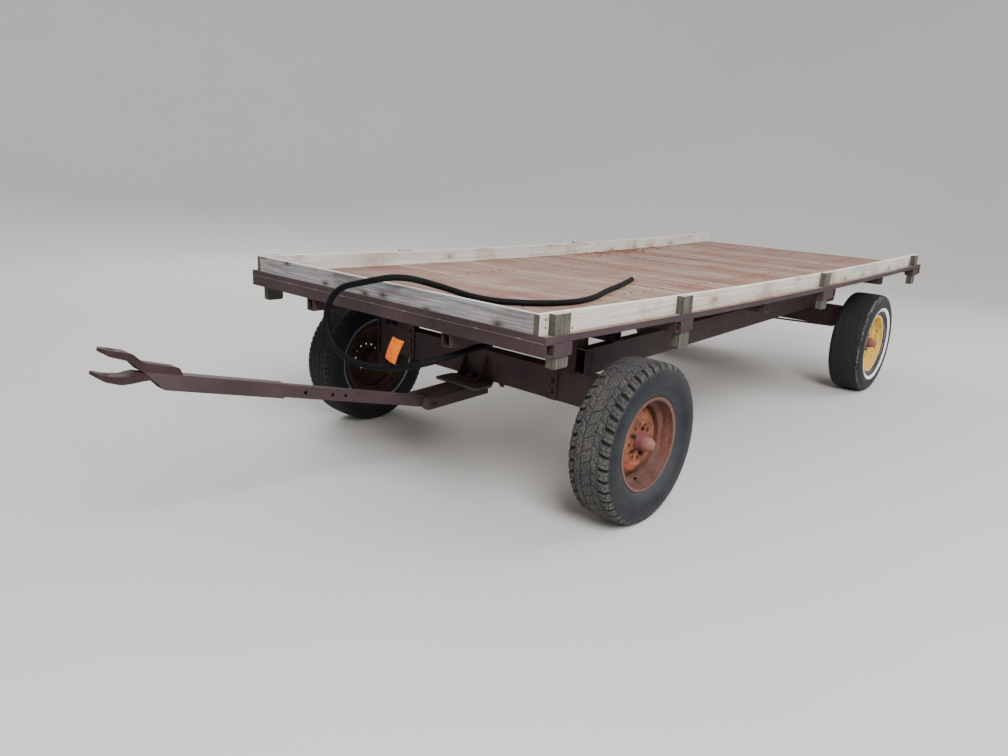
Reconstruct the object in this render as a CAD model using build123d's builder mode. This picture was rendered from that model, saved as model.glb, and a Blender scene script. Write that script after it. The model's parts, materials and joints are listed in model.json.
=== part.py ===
"""Flat deck dump trailer: a tipping deck on a four wheel steerable gear.

Millimetres. +X forward along travel, +Y to the left, +Z up, ground at Z = 0.
"""
from build123d import *
from math import atan2, cos, degrees, hypot, radians, sin, sqrt, tan
import os

os.makedirs("parts", exist_ok=True)

# Deck: overall length, width over the edge strips, and how far it sags mid length
DECK_L = 4877.0
DECK_W = 1990.0
SAG = 26.0
TONGUE_REACH = 1184.5
FX = (DECK_L - TONGUE_REACH) / 2
HALF_W = DECK_W / 2

# Heights at the unsagged ends of the deck, from the long tubes up
RAIL_Z0 = 809.0
RAIL_H = 57.0
CROSS_H = 51.0
PLANK_T = 23.0
STRIP_OVER = 3.0
BOARD_H = 80.0
CROSS_Z0 = RAIL_Z0 + RAIL_H
PLANK_Z0 = CROSS_Z0 + CROSS_H
PLANK_Z1 = PLANK_Z0 + PLANK_T
STRIP_Z1 = PLANK_Z1 + STRIP_OVER
BOARD_Z1 = PLANK_Z1 + BOARD_H

STRIP_T = 6.0
CROSS_W = 51.0
TUBE_WALL = 4.0
RAIL_W = 50.0
RAIL_Y = 475.0
BOARD_T = 27.0
BOARD_OUT_Y = HALF_W - 42
PLANKS = 24
PLANK_GAP = 2.0

# Cross tubes from the front, and the stakes that stand by them:
# (share of the deck's length, gap to the stake: + behind the tube, - ahead of it, 0 no stake,
#  height of the left stake's foot, height of the right one's, stake's top over the board)
CROSS_TUBES = (
    (0.0, 9.0, 812.0, 782.0, 2.0),
    (0.1897, 9.0, 765.0, 765.0, 4.0),
    (0.3865, 0.0, 0.0, 0.0, 0.0),
    (0.5926, -56.0, 773.0, 773.0, 6.0),
    (0.7911, 0.0, 0.0, 0.0, 0.0),
    (1.0, -37.8, 790.0, 790.0, 1.0),
)
CROSS_END = DECK_L - CROSS_W - 1.2
CROSS_AT = tuple(min(row[0] * DECK_L, CROSS_END) for row in CROSS_TUBES)
STAKES = tuple((at, *row[1:]) for at, row in zip(CROSS_AT, CROSS_TUBES) if row[1])
STAKE_W = 89.0
STAKE_T = 38.0
STAKE_OUT_Y = HALF_W - 8
FOOT_CUT = 7.0
POCKET_T = 6.0

# Wheels
FRONT_AXLE = 732.0
REAR_AXLE = DECK_L - 786
TYRE_R = 373.4
FRONT_TRACK = 1914.0
REAR_TRACK = 1732.0
KINGPIN_Y = FRONT_TRACK / 2 - 167

# Frame of the gear
CHAN_Z0 = 620.0
CHAN_H = 125.0
CHAN_FLANGE = 52.0
CHAN_T = 7.0
CHAN_FILLET = 8.0
BEAM_Z0 = 466.0
BEAM_W = 90.0
BEAM_T = 8.0
HINGE_BACK = DECK_L - 577
HINGE_Z = 771.0
HINGE_PIN_R = 16.0
HINGE_R = 24.0
CHAN_Z1 = CHAN_Z0 + CHAN_H
CHAN_FRONT = FRONT_AXLE - BEAM_W / 2
CHAN_REAR = HINGE_BACK + 60
CHAN_Y_FRONT = 690.0
CHAN_Y_REAR = RAIL_Y + 50
FIT = 0.05
SEAT = 0.1


def sx(behind):
    """X of a place so far behind the front of the deck."""
    return FX - behind


def arc_r():
    """Radius of the deck's sag."""
    half = DECK_L / 2
    return (half * half + SAG * SAG) / (2 * SAG)


def sag(behind):
    """How far the deck hangs below its ends at this station."""
    off = behind - DECK_L / 2
    r = arc_r()
    return sqrt(r * r - off * off) - (r - SAG)


def tilt(behind):
    """Slope of the deck at this station in degrees, about Y."""
    off = behind - DECK_L / 2
    return degrees(atan2(off, sqrt(arc_r() ** 2 - off * off)))


def block(x0, x1, y0, y1, z0, z1, mode=Mode.ADD):
    """A box between two corners."""
    with Locations(((x0 + x1) / 2, (y0 + y1) / 2, (z0 + z1) / 2)):
        Box(abs(x1 - x0), abs(y1 - y0), abs(z1 - z0), mode=mode)


def sagged(back0, back1, y0, y1, z0, z1, mode=Mode.ADD):
    """A long piece that follows the sag between two stations."""
    mid = (back0 + back1) / 2
    with BuildSketch(Plane.XZ.offset(-y1)) as sk:
        with BuildLine():
            a = (sx(back0), z0 - sag(back0))
            b = (sx(mid), z0 - sag(mid))
            c = (sx(back1), z0 - sag(back1))
            d = (sx(back1), z1 - sag(back1))
            e = (sx(mid), z1 - sag(mid))
            f = (sx(back0), z1 - sag(back0))
            ThreePointArc(a, b, c)
            Line(c, d)
            ThreePointArc(d, e, f)
            Line(f, a)
        make_face()
    extrude(sk.sketch, amount=y1 - y0, mode=mode)


def outline(points, y0, y1, mode=Mode.ADD):
    """A flat shape drawn in the XZ plane, from Y0 to Y1."""
    with BuildSketch(Plane.XZ.offset(-y1)) as sk:
        with BuildLine():
            Polyline(*points, close=True)
        make_face()
    extrude(sk.sketch, amount=y1 - y0, mode=mode)


def top_outline(points, z0, z1, mode=Mode.ADD):
    """A flat shape drawn in the XY plane, from Z0 to Z1."""
    with BuildSketch(Plane.XY.offset(z0)) as sk:
        with BuildLine():
            Polyline(*points, close=True)
        make_face()
    extrude(sk.sketch, amount=z1 - z0, mode=mode)


def rod_y(x, z, y0, y1, r, mode=Mode.ADD):
    """A round bar along Y."""
    with Locations(Location((x, (y0 + y1) / 2, z), (90, 0, 0))):
        Cylinder(r, abs(y1 - y0), mode=mode)


def rod_z(x, y, z0, z1, r, mode=Mode.ADD):
    """A round bar along Z."""
    with Locations((x, y, (z0 + z1) / 2)):
        Cylinder(r, abs(z1 - z0), mode=mode)


def rod_between(p, q, r, mode=Mode.ADD):
    """A round bar from point p to point q."""
    line = Vector(*q) - Vector(*p)
    plane = Plane(origin=p, z_dir=line)
    with BuildSketch(plane) as sk:
        Circle(r)
    extrude(sk.sketch, amount=line.length, mode=mode)


def stake_back(at, gap):
    """Station of a stake's front face, from the cross tube it stands by."""
    if gap > 0:
        return at + CROSS_W + gap
    return at + gap - STAKE_W


def save(piece, name):
    """Label a piece and write its STEP file."""
    piece.part.label = name
    export_step(piece.part, f"parts/{name}.step")


# Flat deck planks laid across the deck, each on the chord of its sag
plank_pitch = (DECK_L - STRIP_T) / PLANKS
with BuildPart() as deck_planks:
    for n in range(PLANKS):
        start = STRIP_T + n * plank_pitch
        end = start + plank_pitch - PLANK_GAP
        outline(
            [
                (sx(start), PLANK_Z0 - sag(start)), (sx(end), PLANK_Z0 - sag(end)),
                (sx(end), PLANK_Z1 - sag(end)), (sx(start), PLANK_Z1 - sag(start)),
            ],
            -(HALF_W - STRIP_T), HALF_W - STRIP_T,
        )
    for at, gap, _, _, _ in STAKES:
        behind = stake_back(at, gap)
        for hand in (1, -1):
            block(
                sx(behind - 1), sx(behind + STAKE_W + 1),
                hand * (STAKE_OUT_Y - STAKE_T - 1), hand * HALF_W,
                PLANK_Z0 - 60, PLANK_Z1 + 20, mode=Mode.SUBTRACT,
            )
save(deck_planks, "deck_planks")

# Flat steel strips round the deck's edge
with BuildPart() as edge_strips:
    for hand in (1, -1):
        y0, y1 = sorted((hand * (HALF_W - STRIP_T), hand * HALF_W))
        sagged(0, DECK_L, y0, y1, PLANK_Z0, STRIP_Z1)
    block(sx(STRIP_T), sx(0), -(HALF_W - STRIP_T - 0.3), HALF_W - STRIP_T - 0.3, PLANK_Z0, STRIP_Z1)
save(edge_strips, "edge_strips")

# Square cross tubes under the planks, open at both ends
with BuildPart() as crossmembers:
    for behind in CROSS_AT:
        mid = behind + CROSS_W / 2
        depth = CROSS_H - SEAT
        place = Location((sx(mid), 0, (PLANK_Z0 + CROSS_Z0) / 2 - sag(mid)), (0, tilt(mid), 0))
        with Locations(place):
            Box(CROSS_W, DECK_W, depth)
            Box(CROSS_W - 2 * TUBE_WALL, DECK_W + 2, depth - 2 * TUBE_WALL, mode=Mode.SUBTRACT)
save(crossmembers, "crossmembers")

# Two long tubes under the cross tubes
with BuildPart() as deck_rails:
    for hand in (1, -1):
        y0 = hand * RAIL_Y - RAIL_W / 2
        y1 = hand * RAIL_Y + RAIL_W / 2
        sagged(0, DECK_L, y0, y1, RAIL_Z0, CROSS_Z0 - SEAT / 2)
        sagged(
            -1, DECK_L + 1, y0 + TUBE_WALL, y1 - TUBE_WALL,
            RAIL_Z0 + TUBE_WALL, CROSS_Z0 - TUBE_WALL, mode=Mode.SUBTRACT,
        )
save(deck_rails, "deck_rails")

# Timber boards on edge: left, right and front
for name, hand in (("side_board_left", 1), ("side_board_right", -1)):
    with BuildPart() as side_board:
        y0, y1 = sorted((hand * BOARD_OUT_Y, hand * (BOARD_OUT_Y - BOARD_T)))
        sagged(STRIP_T, DECK_L, y0, y1, PLANK_Z1 + SEAT, BOARD_Z1)
    save(side_board, name)

with BuildPart() as front_board:
    board_in = BOARD_OUT_Y - BOARD_T
    sagged(STRIP_T, STRIP_T + BOARD_T, -board_in, board_in, PLANK_Z1 + SEAT, BOARD_Z1)
save(front_board, "front_board")

# Timber stakes, notched to stand against the side boards
for name, hand in (("stakes_left", 1), ("stakes_right", -1)):
    with BuildPart() as stakes:
        for at, gap, foot_left, foot_right, over in STAKES:
            behind = stake_back(at, gap)
            mid = behind + STAKE_W / 2
            foot = foot_left if hand > 0 else foot_right
            low = PLANK_Z1 - 1.2 - sag(mid)
            top = BOARD_Z1 - sag(mid) + over
            x0 = sx(behind + STAKE_W)
            x1 = sx(behind)
            y_out = hand * STAKE_OUT_Y
            y0, y1 = sorted((hand * (STAKE_OUT_Y - STAKE_T), y_out))
            outline(
                [
                    (x0, low), (x0, foot + FOOT_CUT), (x0 + FOOT_CUT, foot),
                    (x1 - FOOT_CUT, foot), (x1, foot + FOOT_CUT), (x1, low),
                ],
                y0, y1,
            )
            block(x0, x1, hand * BOARD_OUT_Y, y_out, low, top)
    save(stakes, name)

# Bent plate pockets that hold the stakes' feet
for name, hand in (("stake_pockets_left", 1), ("stake_pockets_right", -1)):
    with BuildPart() as stake_pockets:
        for at, gap, _, _, _ in STAKES:
            behind = stake_back(at, gap)
            mid = behind + STAKE_W / 2
            if gap > 0:
                near, far = at + CROSS_W + 0.8, behind + STAKE_W + POCKET_T + 4
            else:
                near, far = at - 0.8, behind - POCKET_T - 4
            z0 = CROSS_Z0 - 4 - sag(mid)
            z1 = PLANK_Z0 - 1.8 - sag(mid)
            y_out = hand * HALF_W
            block(sx(near), sx(far), hand * (HALF_W - POCKET_T), y_out, z0, z1)
            step = POCKET_T if gap > 0 else -POCKET_T
            block(sx(far - step), sx(far), hand * (HALF_W - 60), y_out, z0, z1)
    save(stake_pockets, name)

# Hinge lugs under the deck's long tubes
with BuildPart() as bed_hinge_lugs:
    for hand in (1, -1):
        y0 = hand * RAIL_Y - 12
        y1 = hand * RAIL_Y + 12
        rod_y(sx(HINGE_BACK), HINGE_Z, y0, y1, HINGE_R)
        outline(
            [
                (sx(HINGE_BACK) - HINGE_R, HINGE_Z),
                (sx(HINGE_BACK) + HINGE_R, HINGE_Z),
                (sx(HINGE_BACK - 60), RAIL_Z0 - SEAT - sag(HINGE_BACK - 60)),
                (sx(HINGE_BACK + 60), RAIL_Z0 - SEAT - sag(HINGE_BACK + 60)),
            ],
            y0, y1,
        )
        rod_y(sx(HINGE_BACK), HINGE_Z, y0 - 1, y1 + 1, HINGE_PIN_R + FIT, mode=Mode.SUBTRACT)
save(bed_hinge_lugs, "bed_hinge_lugs")

# Hoist: where the barrel's foot and the rod's eye are pinned, as (behind, height)
HOIST_EYE = (HINGE_BACK - 500, 720.0)
HOIST_FOOT = (HOIST_EYE[0] - 1300, 480.0)
HOIST_PIN_R = 15.0
HOIST_EYE_R = 26.0
HOIST_LUG_IN = 34.0
HOIST_LUG_T = 14.0
hoist_len = hypot(HOIST_EYE[0] - HOIST_FOOT[0], HOIST_EYE[1] - HOIST_FOOT[1])
hoist_pitch = degrees(atan2(HOIST_EYE[1] - HOIST_FOOT[1], HOIST_EYE[0] - HOIST_FOOT[0]))


def cross_tube(x, half_y, z0, z1, half_x=30.0):
    """A square tube across the frame, open at both ends."""
    block(x - half_x, x + half_x, -half_y, half_y, z0, z1)
    block(
        x - half_x + TUBE_WALL, x + half_x - TUBE_WALL, -half_y - 1, half_y + 1,
        z0 + TUBE_WALL, z1 - TUBE_WALL, mode=Mode.SUBTRACT,
    )


with BuildPart() as bed_hoist_bracket:
    eye_x = sx(HOIST_EYE[0])
    tube_z0 = RAIL_Z0 - 9 - 24
    cross_tube(eye_x, RAIL_Y - RAIL_W / 2, tube_z0, tube_z0 + 60)
    for hand in (1, -1):
        y0, y1 = sorted((hand * HOIST_LUG_IN, hand * (HOIST_LUG_IN + HOIST_LUG_T)))
        rod_y(eye_x, HOIST_EYE[1], y0, y1, HOIST_EYE_R)
        outline(
            [
                (eye_x - HOIST_EYE_R, HOIST_EYE[1]), (eye_x + HOIST_EYE_R, HOIST_EYE[1]),
                (eye_x + 30, tube_z0), (eye_x - 30, tube_z0),
            ],
            y0, y1,
        )
        lug_out = HOIST_LUG_IN + HOIST_LUG_T
        rod_y(eye_x, HOIST_EYE[1], hand * (lug_out - 1), hand * (lug_out + 8), HOIST_PIN_R + 5)
save(bed_hoist_bracket, "bed_hoist_bracket")

# Side channels of the frame, closer together at the rear
chan_slope = (CHAN_Y_FRONT - CHAN_Y_REAR) / (CHAN_REAR - CHAN_FRONT)


def chan_y(behind):
    """Outer face of a side channel at this station."""
    return CHAN_Y_FRONT - chan_slope * (behind - CHAN_FRONT)


def channel(hand):
    """C section drawn at the channel's front end, web outboard, run back to its rear end."""
    start = Vector(sx(CHAN_FRONT), hand * CHAN_Y_FRONT, CHAN_Z0)
    run = Vector(sx(CHAN_REAR), hand * CHAN_Y_REAR, CHAN_Z0) - start
    inboard = Vector(0, 0, 1).cross(run).normalized() * hand
    plane = Plane(origin=start, x_dir=inboard, z_dir=run)
    up = 1 if plane.y_dir.Z > 0 else -1
    with BuildSketch(plane) as sk:
        with Locations((CHAN_FLANGE / 2, up * CHAN_H / 2)):
            Rectangle(CHAN_FLANGE, CHAN_H)
        with Locations((CHAN_T + CHAN_FLANGE, up * CHAN_H / 2)):
            RectangleRounded(
                2 * CHAN_FLANGE, CHAN_H - 2 * CHAN_T, CHAN_FILLET, mode=Mode.SUBTRACT,
            )
    extrude(sk.sketch, amount=run.length)


for name, hand in (("frame_channel_left", 1), ("frame_channel_right", -1)):
    with BuildPart() as frame_channel:
        channel(hand)
    save(frame_channel, name)

# Front axle beam: a deep channel, web forward, with a kingpin tube at each end
BEAM_HALF = KINGPIN_Y - 28
KING_R = 16.0
BOSS_R = 30.0
BOSS_Z0 = BEAM_Z0 - 14
BOSS_Z1 = CHAN_Z0 + 14
BAR_Y = 510.0
BAR_W = 56.0


def axle_beam(x_web, half_y):
    """An axle beam of C section, its web's front face at x_web and its flanges behind it."""
    x_back = x_web - BEAM_W
    outline(
        [
            (x_web, BEAM_Z0), (x_web, CHAN_Z0), (x_back, CHAN_Z0), (x_back, CHAN_Z0 - BEAM_T),
            (x_web - BEAM_T, CHAN_Z0 - BEAM_T), (x_web - BEAM_T, BEAM_Z0 + BEAM_T),
            (x_back, BEAM_Z0 + BEAM_T), (x_back, BEAM_Z0),
        ],
        -half_y, half_y,
    )


with BuildPart() as front_axle:
    web_x = sx(CHAN_FRONT)
    axle_beam(web_x, BEAM_HALF)
    for y in (-BAR_Y, 0.0, BAR_Y):
        block(web_x - BEAM_W + 4, web_x - 1, y - 5, y + 5, BEAM_Z0 + 1, CHAN_Z0 - 1)
    for y in (-BAR_Y, BAR_Y):
        block(web_x, web_x + BEAM_T, y - BAR_W / 2, y + BAR_W / 2, BEAM_Z0, CHAN_Z0 + 36)
    for hand in (1, -1):
        rod_z(sx(FRONT_AXLE), hand * KINGPIN_Y, BOSS_Z0, BOSS_Z1, BOSS_R)
        block(
            web_x - BEAM_W, web_x, hand * (BEAM_HALF - 8), hand * BEAM_HALF, BEAM_Z0, CHAN_Z0,
        )
        block(
            web_x - BEAM_W + 20, web_x - 20, hand * (BEAM_HALF - 2), hand * KINGPIN_Y,
            BEAM_Z0 + 20, CHAN_Z0 - 20,
        )
    for hand in (1, -1):
        rod_z(
            sx(FRONT_AXLE), hand * KINGPIN_Y, BOSS_Z0 - 1, BOSS_Z1 + 1,
            KING_R + FIT, mode=Mode.SUBTRACT,
        )
save(front_axle, "front_axle")

# Tubes across the side channels: the front one carries the deck, the rear one the hinge's ears
REST_BACK = FRONT_AXLE + 218
with BuildPart() as front_bolster:
    cross_tube(sx(REST_BACK), chan_y(REST_BACK), CHAN_Z1, RAIL_Z0 - sag(REST_BACK) - 0.8)
save(front_bolster, "front_bolster")

with BuildPart() as rear_bolster:
    cross_tube(
        sx(HINGE_BACK), chan_y(HINGE_BACK) - CHAN_T - CHAN_FILLET - 2,
        CHAN_Z1 - CHAN_T - 60, CHAN_Z1 - CHAN_T,
    )
save(rear_bolster, "rear_bolster")

# Cross tube and lugs that carry the hoist's foot
HOIST_FOOT_R = 30.0
with BuildPart() as frame_hoist_bracket:
    foot_x = sx(HOIST_FOOT[0])
    tube_z0 = CHAN_Z0 + CHAN_T
    half_y = chan_y(HOIST_FOOT[0]) - CHAN_T - CHAN_FILLET - 2
    cross_tube(foot_x, half_y, tube_z0, tube_z0 + 60)
    for hand in (1, -1):
        y0, y1 = sorted((hand * HOIST_LUG_IN, hand * (HOIST_LUG_IN + HOIST_LUG_T)))
        rod_y(foot_x, HOIST_FOOT[1], y0, y1, HOIST_FOOT_R)
        outline(
            [
                (foot_x - HOIST_FOOT_R, HOIST_FOOT[1]), (foot_x + HOIST_FOOT_R, HOIST_FOOT[1]),
                (foot_x + 50, tube_z0), (foot_x - 30, tube_z0),
            ],
            y0, y1,
        )
    rod_y(foot_x, HOIST_FOOT[1], -58, 58, HOIST_PIN_R)
save(frame_hoist_bracket, "frame_hoist_bracket")

# Rear axle beam, its end plates and the wheel spindles
SPINDLE_R = 19.0
SPINDLE_OUT = 62.0
REAR_DISC_OUT = 13.0
REAR_BEAM_HALF = REAR_TRACK / 2 - 166
with BuildPart() as rear_axle:
    web_x = sx(REAR_AXLE) + BEAM_W / 2
    axle_beam(web_x, REAR_BEAM_HALF)
    for hand in (1, -1):
        y0, y1 = sorted((hand * (REAR_BEAM_HALF - 12), hand * REAR_BEAM_HALF))
        outline(
            [
                (web_x, CHAN_Z0), (web_x - BEAM_W, CHAN_Z0), (web_x - BEAM_W, BEAM_Z0),
                (sx(REAR_AXLE) - 28, TYRE_R - 34), (sx(REAR_AXLE) + 28, TYRE_R - 34),
                (web_x, BEAM_Z0),
            ],
            y0, y1,
        )
        rod_y(
            sx(REAR_AXLE), TYRE_R, hand * (REAR_BEAM_HALF - 10),
            hand * (REAR_TRACK / 2 + SPINDLE_OUT + REAR_DISC_OUT), SPINDLE_R,
        )
save(rear_axle, "rear_axle")

# Ears on the side channels and on the rear tube, and the pin the deck tips about
with BuildPart() as hinge_ears:
    for hand in (1, -1):
        for off, seat_z in ((-20.0, CHAN_Z1 - CHAN_T), (20.0, CHAN_Z1)):
            y0 = hand * (RAIL_Y + off) - 7
            y1 = y0 + 14
            rod_y(sx(HINGE_BACK), HINGE_Z, y0, y1, HINGE_R)
            block(
                sx(HINGE_BACK) - HINGE_R, sx(HINGE_BACK) + HINGE_R, y0, y1,
                seat_z, HINGE_Z,
            )
            rod_y(sx(HINGE_BACK), HINGE_Z, y0 - 1, y1 + 1, HINGE_PIN_R, mode=Mode.SUBTRACT)
save(hinge_ears, "hinge_ears")

with BuildPart() as hinge_pin:
    rod_y(sx(HINGE_BACK), HINGE_Z, -(RAIL_Y + 40), RAIL_Y + 40, HINGE_PIN_R)
save(hinge_pin, "hinge_pin")

# Truss rod under the rear axle, held off it by a short strut
TRUSS_R = 7.0
TRUSS_DROP = 30.0
TRUSS_HALF = REAR_BEAM_HALF - 60
with BuildPart() as truss_rod:
    x = sx(REAR_AXLE)
    low = (x, 0, BEAM_Z0 - TRUSS_DROP)
    for hand in (1, -1):
        rod_between(low, (x, hand * TRUSS_HALF, BEAM_Z0 - TRUSS_R - 1), TRUSS_R)
    with Locations(low):
        Sphere(TRUSS_R)
    block(x - 8, x + 8, -8, 8, low[2], BEAM_Z0)
save(truss_rod, "truss_rod")

# Steering pivot: a bracket ahead of the axle beam with its upright bolt
PIVOT_BACK = FRONT_AXLE - 86
PIVOT_R = 13.0
PLATE_Z0 = 448.0
PLATE_Z1 = 460.0
PIVOT_HALF = 80.0
GUSSET_T = 10.0
with BuildPart() as steering_pivot:
    x = sx(PIVOT_BACK)
    base_z = BEAM_Z0 + 12
    block(sx(CHAN_FRONT), x + 36, -PIVOT_HALF, PIVOT_HALF, BEAM_Z0, base_z)
    for y in (-PIVOT_HALF + 1, PIVOT_HALF - 1 - GUSSET_T):
        outline(
            [(sx(CHAN_FRONT), base_z), (x + 20, base_z), (sx(CHAN_FRONT), CHAN_Z0 - 20)],
            y, y + GUSSET_T,
        )
    rod_z(x, 0, PLATE_Z0 - 24, BEAM_Z0 + 6, PIVOT_R)
    rod_z(x, 0, PLATE_Z0 - 24, PLATE_Z0 - 10, 22)
    with BuildSketch(Plane.XY.offset(base_z)) as sk:
        with Locations((x, 0)):
            RegularPolygon(22, 6)
    extrude(sk.sketch, amount=15)
save(steering_pivot, "steering_pivot")

# Steering plate, from ahead of the pivot back under the axle beam to the tie rods' studs
# Tie rod studs: (behind, out to the side) on the plate, and on the knuckles' arms
TIE_IN = (PIVOT_BACK + 190, 55.0)
ARM_PIN = (FRONT_AXLE + 200, KINGPIN_Y)
TIE_Z = 419.0
TIE_R = 10.0
TIE_EYE_HALF = 11.0
STUD_R = 8.0
LIFT_BACK = 315.0
LIFT_Z = 405.0
LIFT_PIN_R = 12.5
LEG_OUT = 80.0
LEG_W = 38.0
with BuildPart() as steering_plate:
    with BuildSketch(Plane.XY.offset(PLATE_Z0)) as sk:
        with BuildLine():
            Polyline(
                (sx(535), -148), (sx(535), 148), (sx(PIVOT_BACK), 150),
                (sx(CHAN_FRONT + 40), 92), (sx(TIE_IN[0] + 26), 84),
                (sx(TIE_IN[0] + 26), -84), (sx(CHAN_FRONT + 40), -92),
                (sx(PIVOT_BACK), -150), close=True,
            )
        make_face()
        fillet(sk.vertices(), 12)
        with Locations((sx(PIVOT_BACK), 0)):
            Circle(PIVOT_R + FIT, mode=Mode.SUBTRACT)
        with Locations((sx(CHAN_FRONT + 72), 0)):
            Circle(30, mode=Mode.SUBTRACT)
    extrude(sk.sketch, amount=PLATE_Z1 - PLATE_Z0)
    for hand in (1, -1):
        rod_z(sx(TIE_IN[0]), hand * TIE_IN[1], TIE_Z - TIE_EYE_HALF - 3, PLATE_Z1, STUD_R)
save(steering_plate, "steering_plate")

# Hound legs under the plate, tapered forward to the tongue's lift pin
with BuildPart() as hound_legs:
    for hand in (1, -1):
        y0, y1 = sorted((hand * (LEG_OUT - LEG_W), hand * LEG_OUT))
        outline(
            [
                (sx(700), PLATE_Z0), (sx(LIFT_BACK - 25), PLATE_Z0 - 14),
                (sx(LIFT_BACK - 39), LIFT_Z + 7), (sx(LIFT_BACK - 33), LIFT_Z - 23),
                (sx(700), PLATE_Z0 - 56),
            ],
            y0, y1,
        )
        rod_y(sx(LIFT_BACK), LIFT_Z, y0 - 1, y1 + 1, LIFT_PIN_R, mode=Mode.SUBTRACT)
save(hound_legs, "hound_legs")

with BuildPart() as lift_pin:
    rod_y(sx(LIFT_BACK), LIFT_Z, -LEG_OUT - 14, LEG_OUT + 14, LIFT_PIN_R)
save(lift_pin, "lift_pin")

# Tongue, pitched up from its lift pin; s runs along it and n across it
TONGUE_PITCH = 14.2
REAR_TUBE = 50.8
FRONT_TUBE = 60.0
TONGUE_WALL = 4.0
FRONT_END_S = 1383.0
FRONT_SLANT = 86.0
JOIN_S = FRONT_END_S - 583
REAR_END_S = FRONT_END_S - 161
ADJUST_HOLES = (490.0, 560.0, 700.0)
ADJUST_R = 8.0


def tongue(s, n):
    """XZ place of a point s along the tongue and n above its axis."""
    c = cos(radians(TONGUE_PITCH))
    d = sin(radians(TONGUE_PITCH))
    return (sx(LIFT_BACK) + s * c - n * d, LIFT_Z + s * d + n * c)


def along(points, y0, y1, mode=Mode.ADD):
    """A shape given in tongue coordinates, from Y0 to Y1."""
    outline([tongue(s, n) for s, n in points], y0, y1, mode=mode)


with BuildPart() as tongue_rear_tube:
    h = REAR_TUBE / 2
    w = h - TONGUE_WALL
    along([(-30, -h), (REAR_END_S, -h), (REAR_END_S, h), (-30, h)], -h, h)
    along(
        [(-31, -w), (REAR_END_S + 1, -w), (REAR_END_S + 1, w), (-31, w)],
        -w, w, mode=Mode.SUBTRACT,
    )
    for s in ADJUST_HOLES:
        x, z = tongue(s, 0)
        rod_y(x, z, -h - 1, h + 1, ADJUST_R, mode=Mode.SUBTRACT)
    for hand in (1, -1):
        rod_y(sx(LIFT_BACK), LIFT_Z, hand * (h - 4), hand * (LEG_OUT - LEG_W - 0.5), 24)
    rod_y(sx(LIFT_BACK), LIFT_Z, -LEG_OUT, LEG_OUT, LIFT_PIN_R + FIT, mode=Mode.SUBTRACT)
save(tongue_rear_tube, "tongue_rear_tube")

with BuildPart() as tongue_front_tube:
    h = FRONT_TUBE / 2
    w = REAR_TUBE / 2
    along(
        [
            (JOIN_S, -h), (FRONT_END_S - FRONT_SLANT, -h), (FRONT_END_S, h), (JOIN_S, h),
        ],
        -h, h,
    )
    along(
        [(JOIN_S - 1, -w), (FRONT_END_S + 1, -w), (FRONT_END_S + 1, w), (JOIN_S - 1, w)],
        -w, w, mode=Mode.SUBTRACT,
    )
save(tongue_front_tube, "tongue_front_tube")

# Clevis: two forged jaws, the upper one on the tube and the lower one rooted inside it
JAW_HALF = 38.0
ROOT_HALF = 29.0
HITCH_S = FRONT_END_S + 116
HITCH_R = 14.0
TUBE_TOP = FRONT_TUBE / 2
TUBE_INSIDE = REAR_TUBE / 2
# Side outlines of the jaws, as (s from the tube's front end, n, corner radius)
UPPER_JAW = (
    (-145, TUBE_TOP, 4), (9, TUBE_TOP, 28), (49, 62, 34), (127, 72, 30), (170, 90, 3),
    (168, 95, 3), (54, 91, 40), (4, 62, 34), (-125, 56, 14),
)
LOWER_JAW = (
    (-135, TUBE_INSIDE, 3), (-135, 2, 3), (-35, 2, 40), (72, -22, 90), (129, -15, 80),
    (180, 9.5, 2), (177, 14, 2), (112, 4.5, 80), (57, 9, 50), (17, TUBE_INSIDE, 20),
)
UPPER_TIP = 154.0
LOWER_TIP = 164.27


def jaw(points, tip, root_half, widen_from):
    """A jaw of the clevis: its side outline, cut to its outline from above."""
    c = cos(radians(TONGUE_PITCH))
    d = sin(radians(TONGUE_PITCH))
    corners = [tongue(FRONT_END_S + s, n) for s, n, _ in points]
    with BuildSketch(Plane.XZ.offset(-JAW_HALF)) as sk:
        with BuildLine():
            FilletPolyline(*corners, radius=[r for _, _, r in points], close=True)
        make_face()
    extrude(sk.sketch, amount=2 * JAW_HALF)
    x, z = tongue(FRONT_END_S, -60)
    eye = tip - JAW_HALF
    with BuildSketch(Plane(origin=(x, 0, z), x_dir=(c, 0, d), z_dir=(-d, 0, c))) as sk:
        with BuildLine():
            Polyline(
                (-200, -root_half), (widen_from, -root_half), (widen_from + 46, -JAW_HALF),
                (eye, -JAW_HALF), (eye, JAW_HALF), (widen_from + 46, JAW_HALF),
                (widen_from, root_half), (-200, root_half), close=True,
            )
        make_face()
        with Locations((eye, 0)):
            Circle(JAW_HALF)
    extrude(sk.sketch, amount=200, mode=Mode.INTERSECT)
    low = tongue(HITCH_S, -60)
    high = tongue(HITCH_S, 140)
    rod_between((low[0], 0, low[1]), (high[0], 0, high[1]), HITCH_R, mode=Mode.SUBTRACT)


with BuildPart() as clevis_upper:
    jaw(UPPER_JAW, UPPER_TIP, ROOT_HALF, 14)
save(clevis_upper, "clevis_upper")

with BuildPart() as clevis_lower:
    jaw(LOWER_JAW, LOWER_TIP, TUBE_INSIDE - SEAT, -6)
save(clevis_lower, "clevis_lower")

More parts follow.
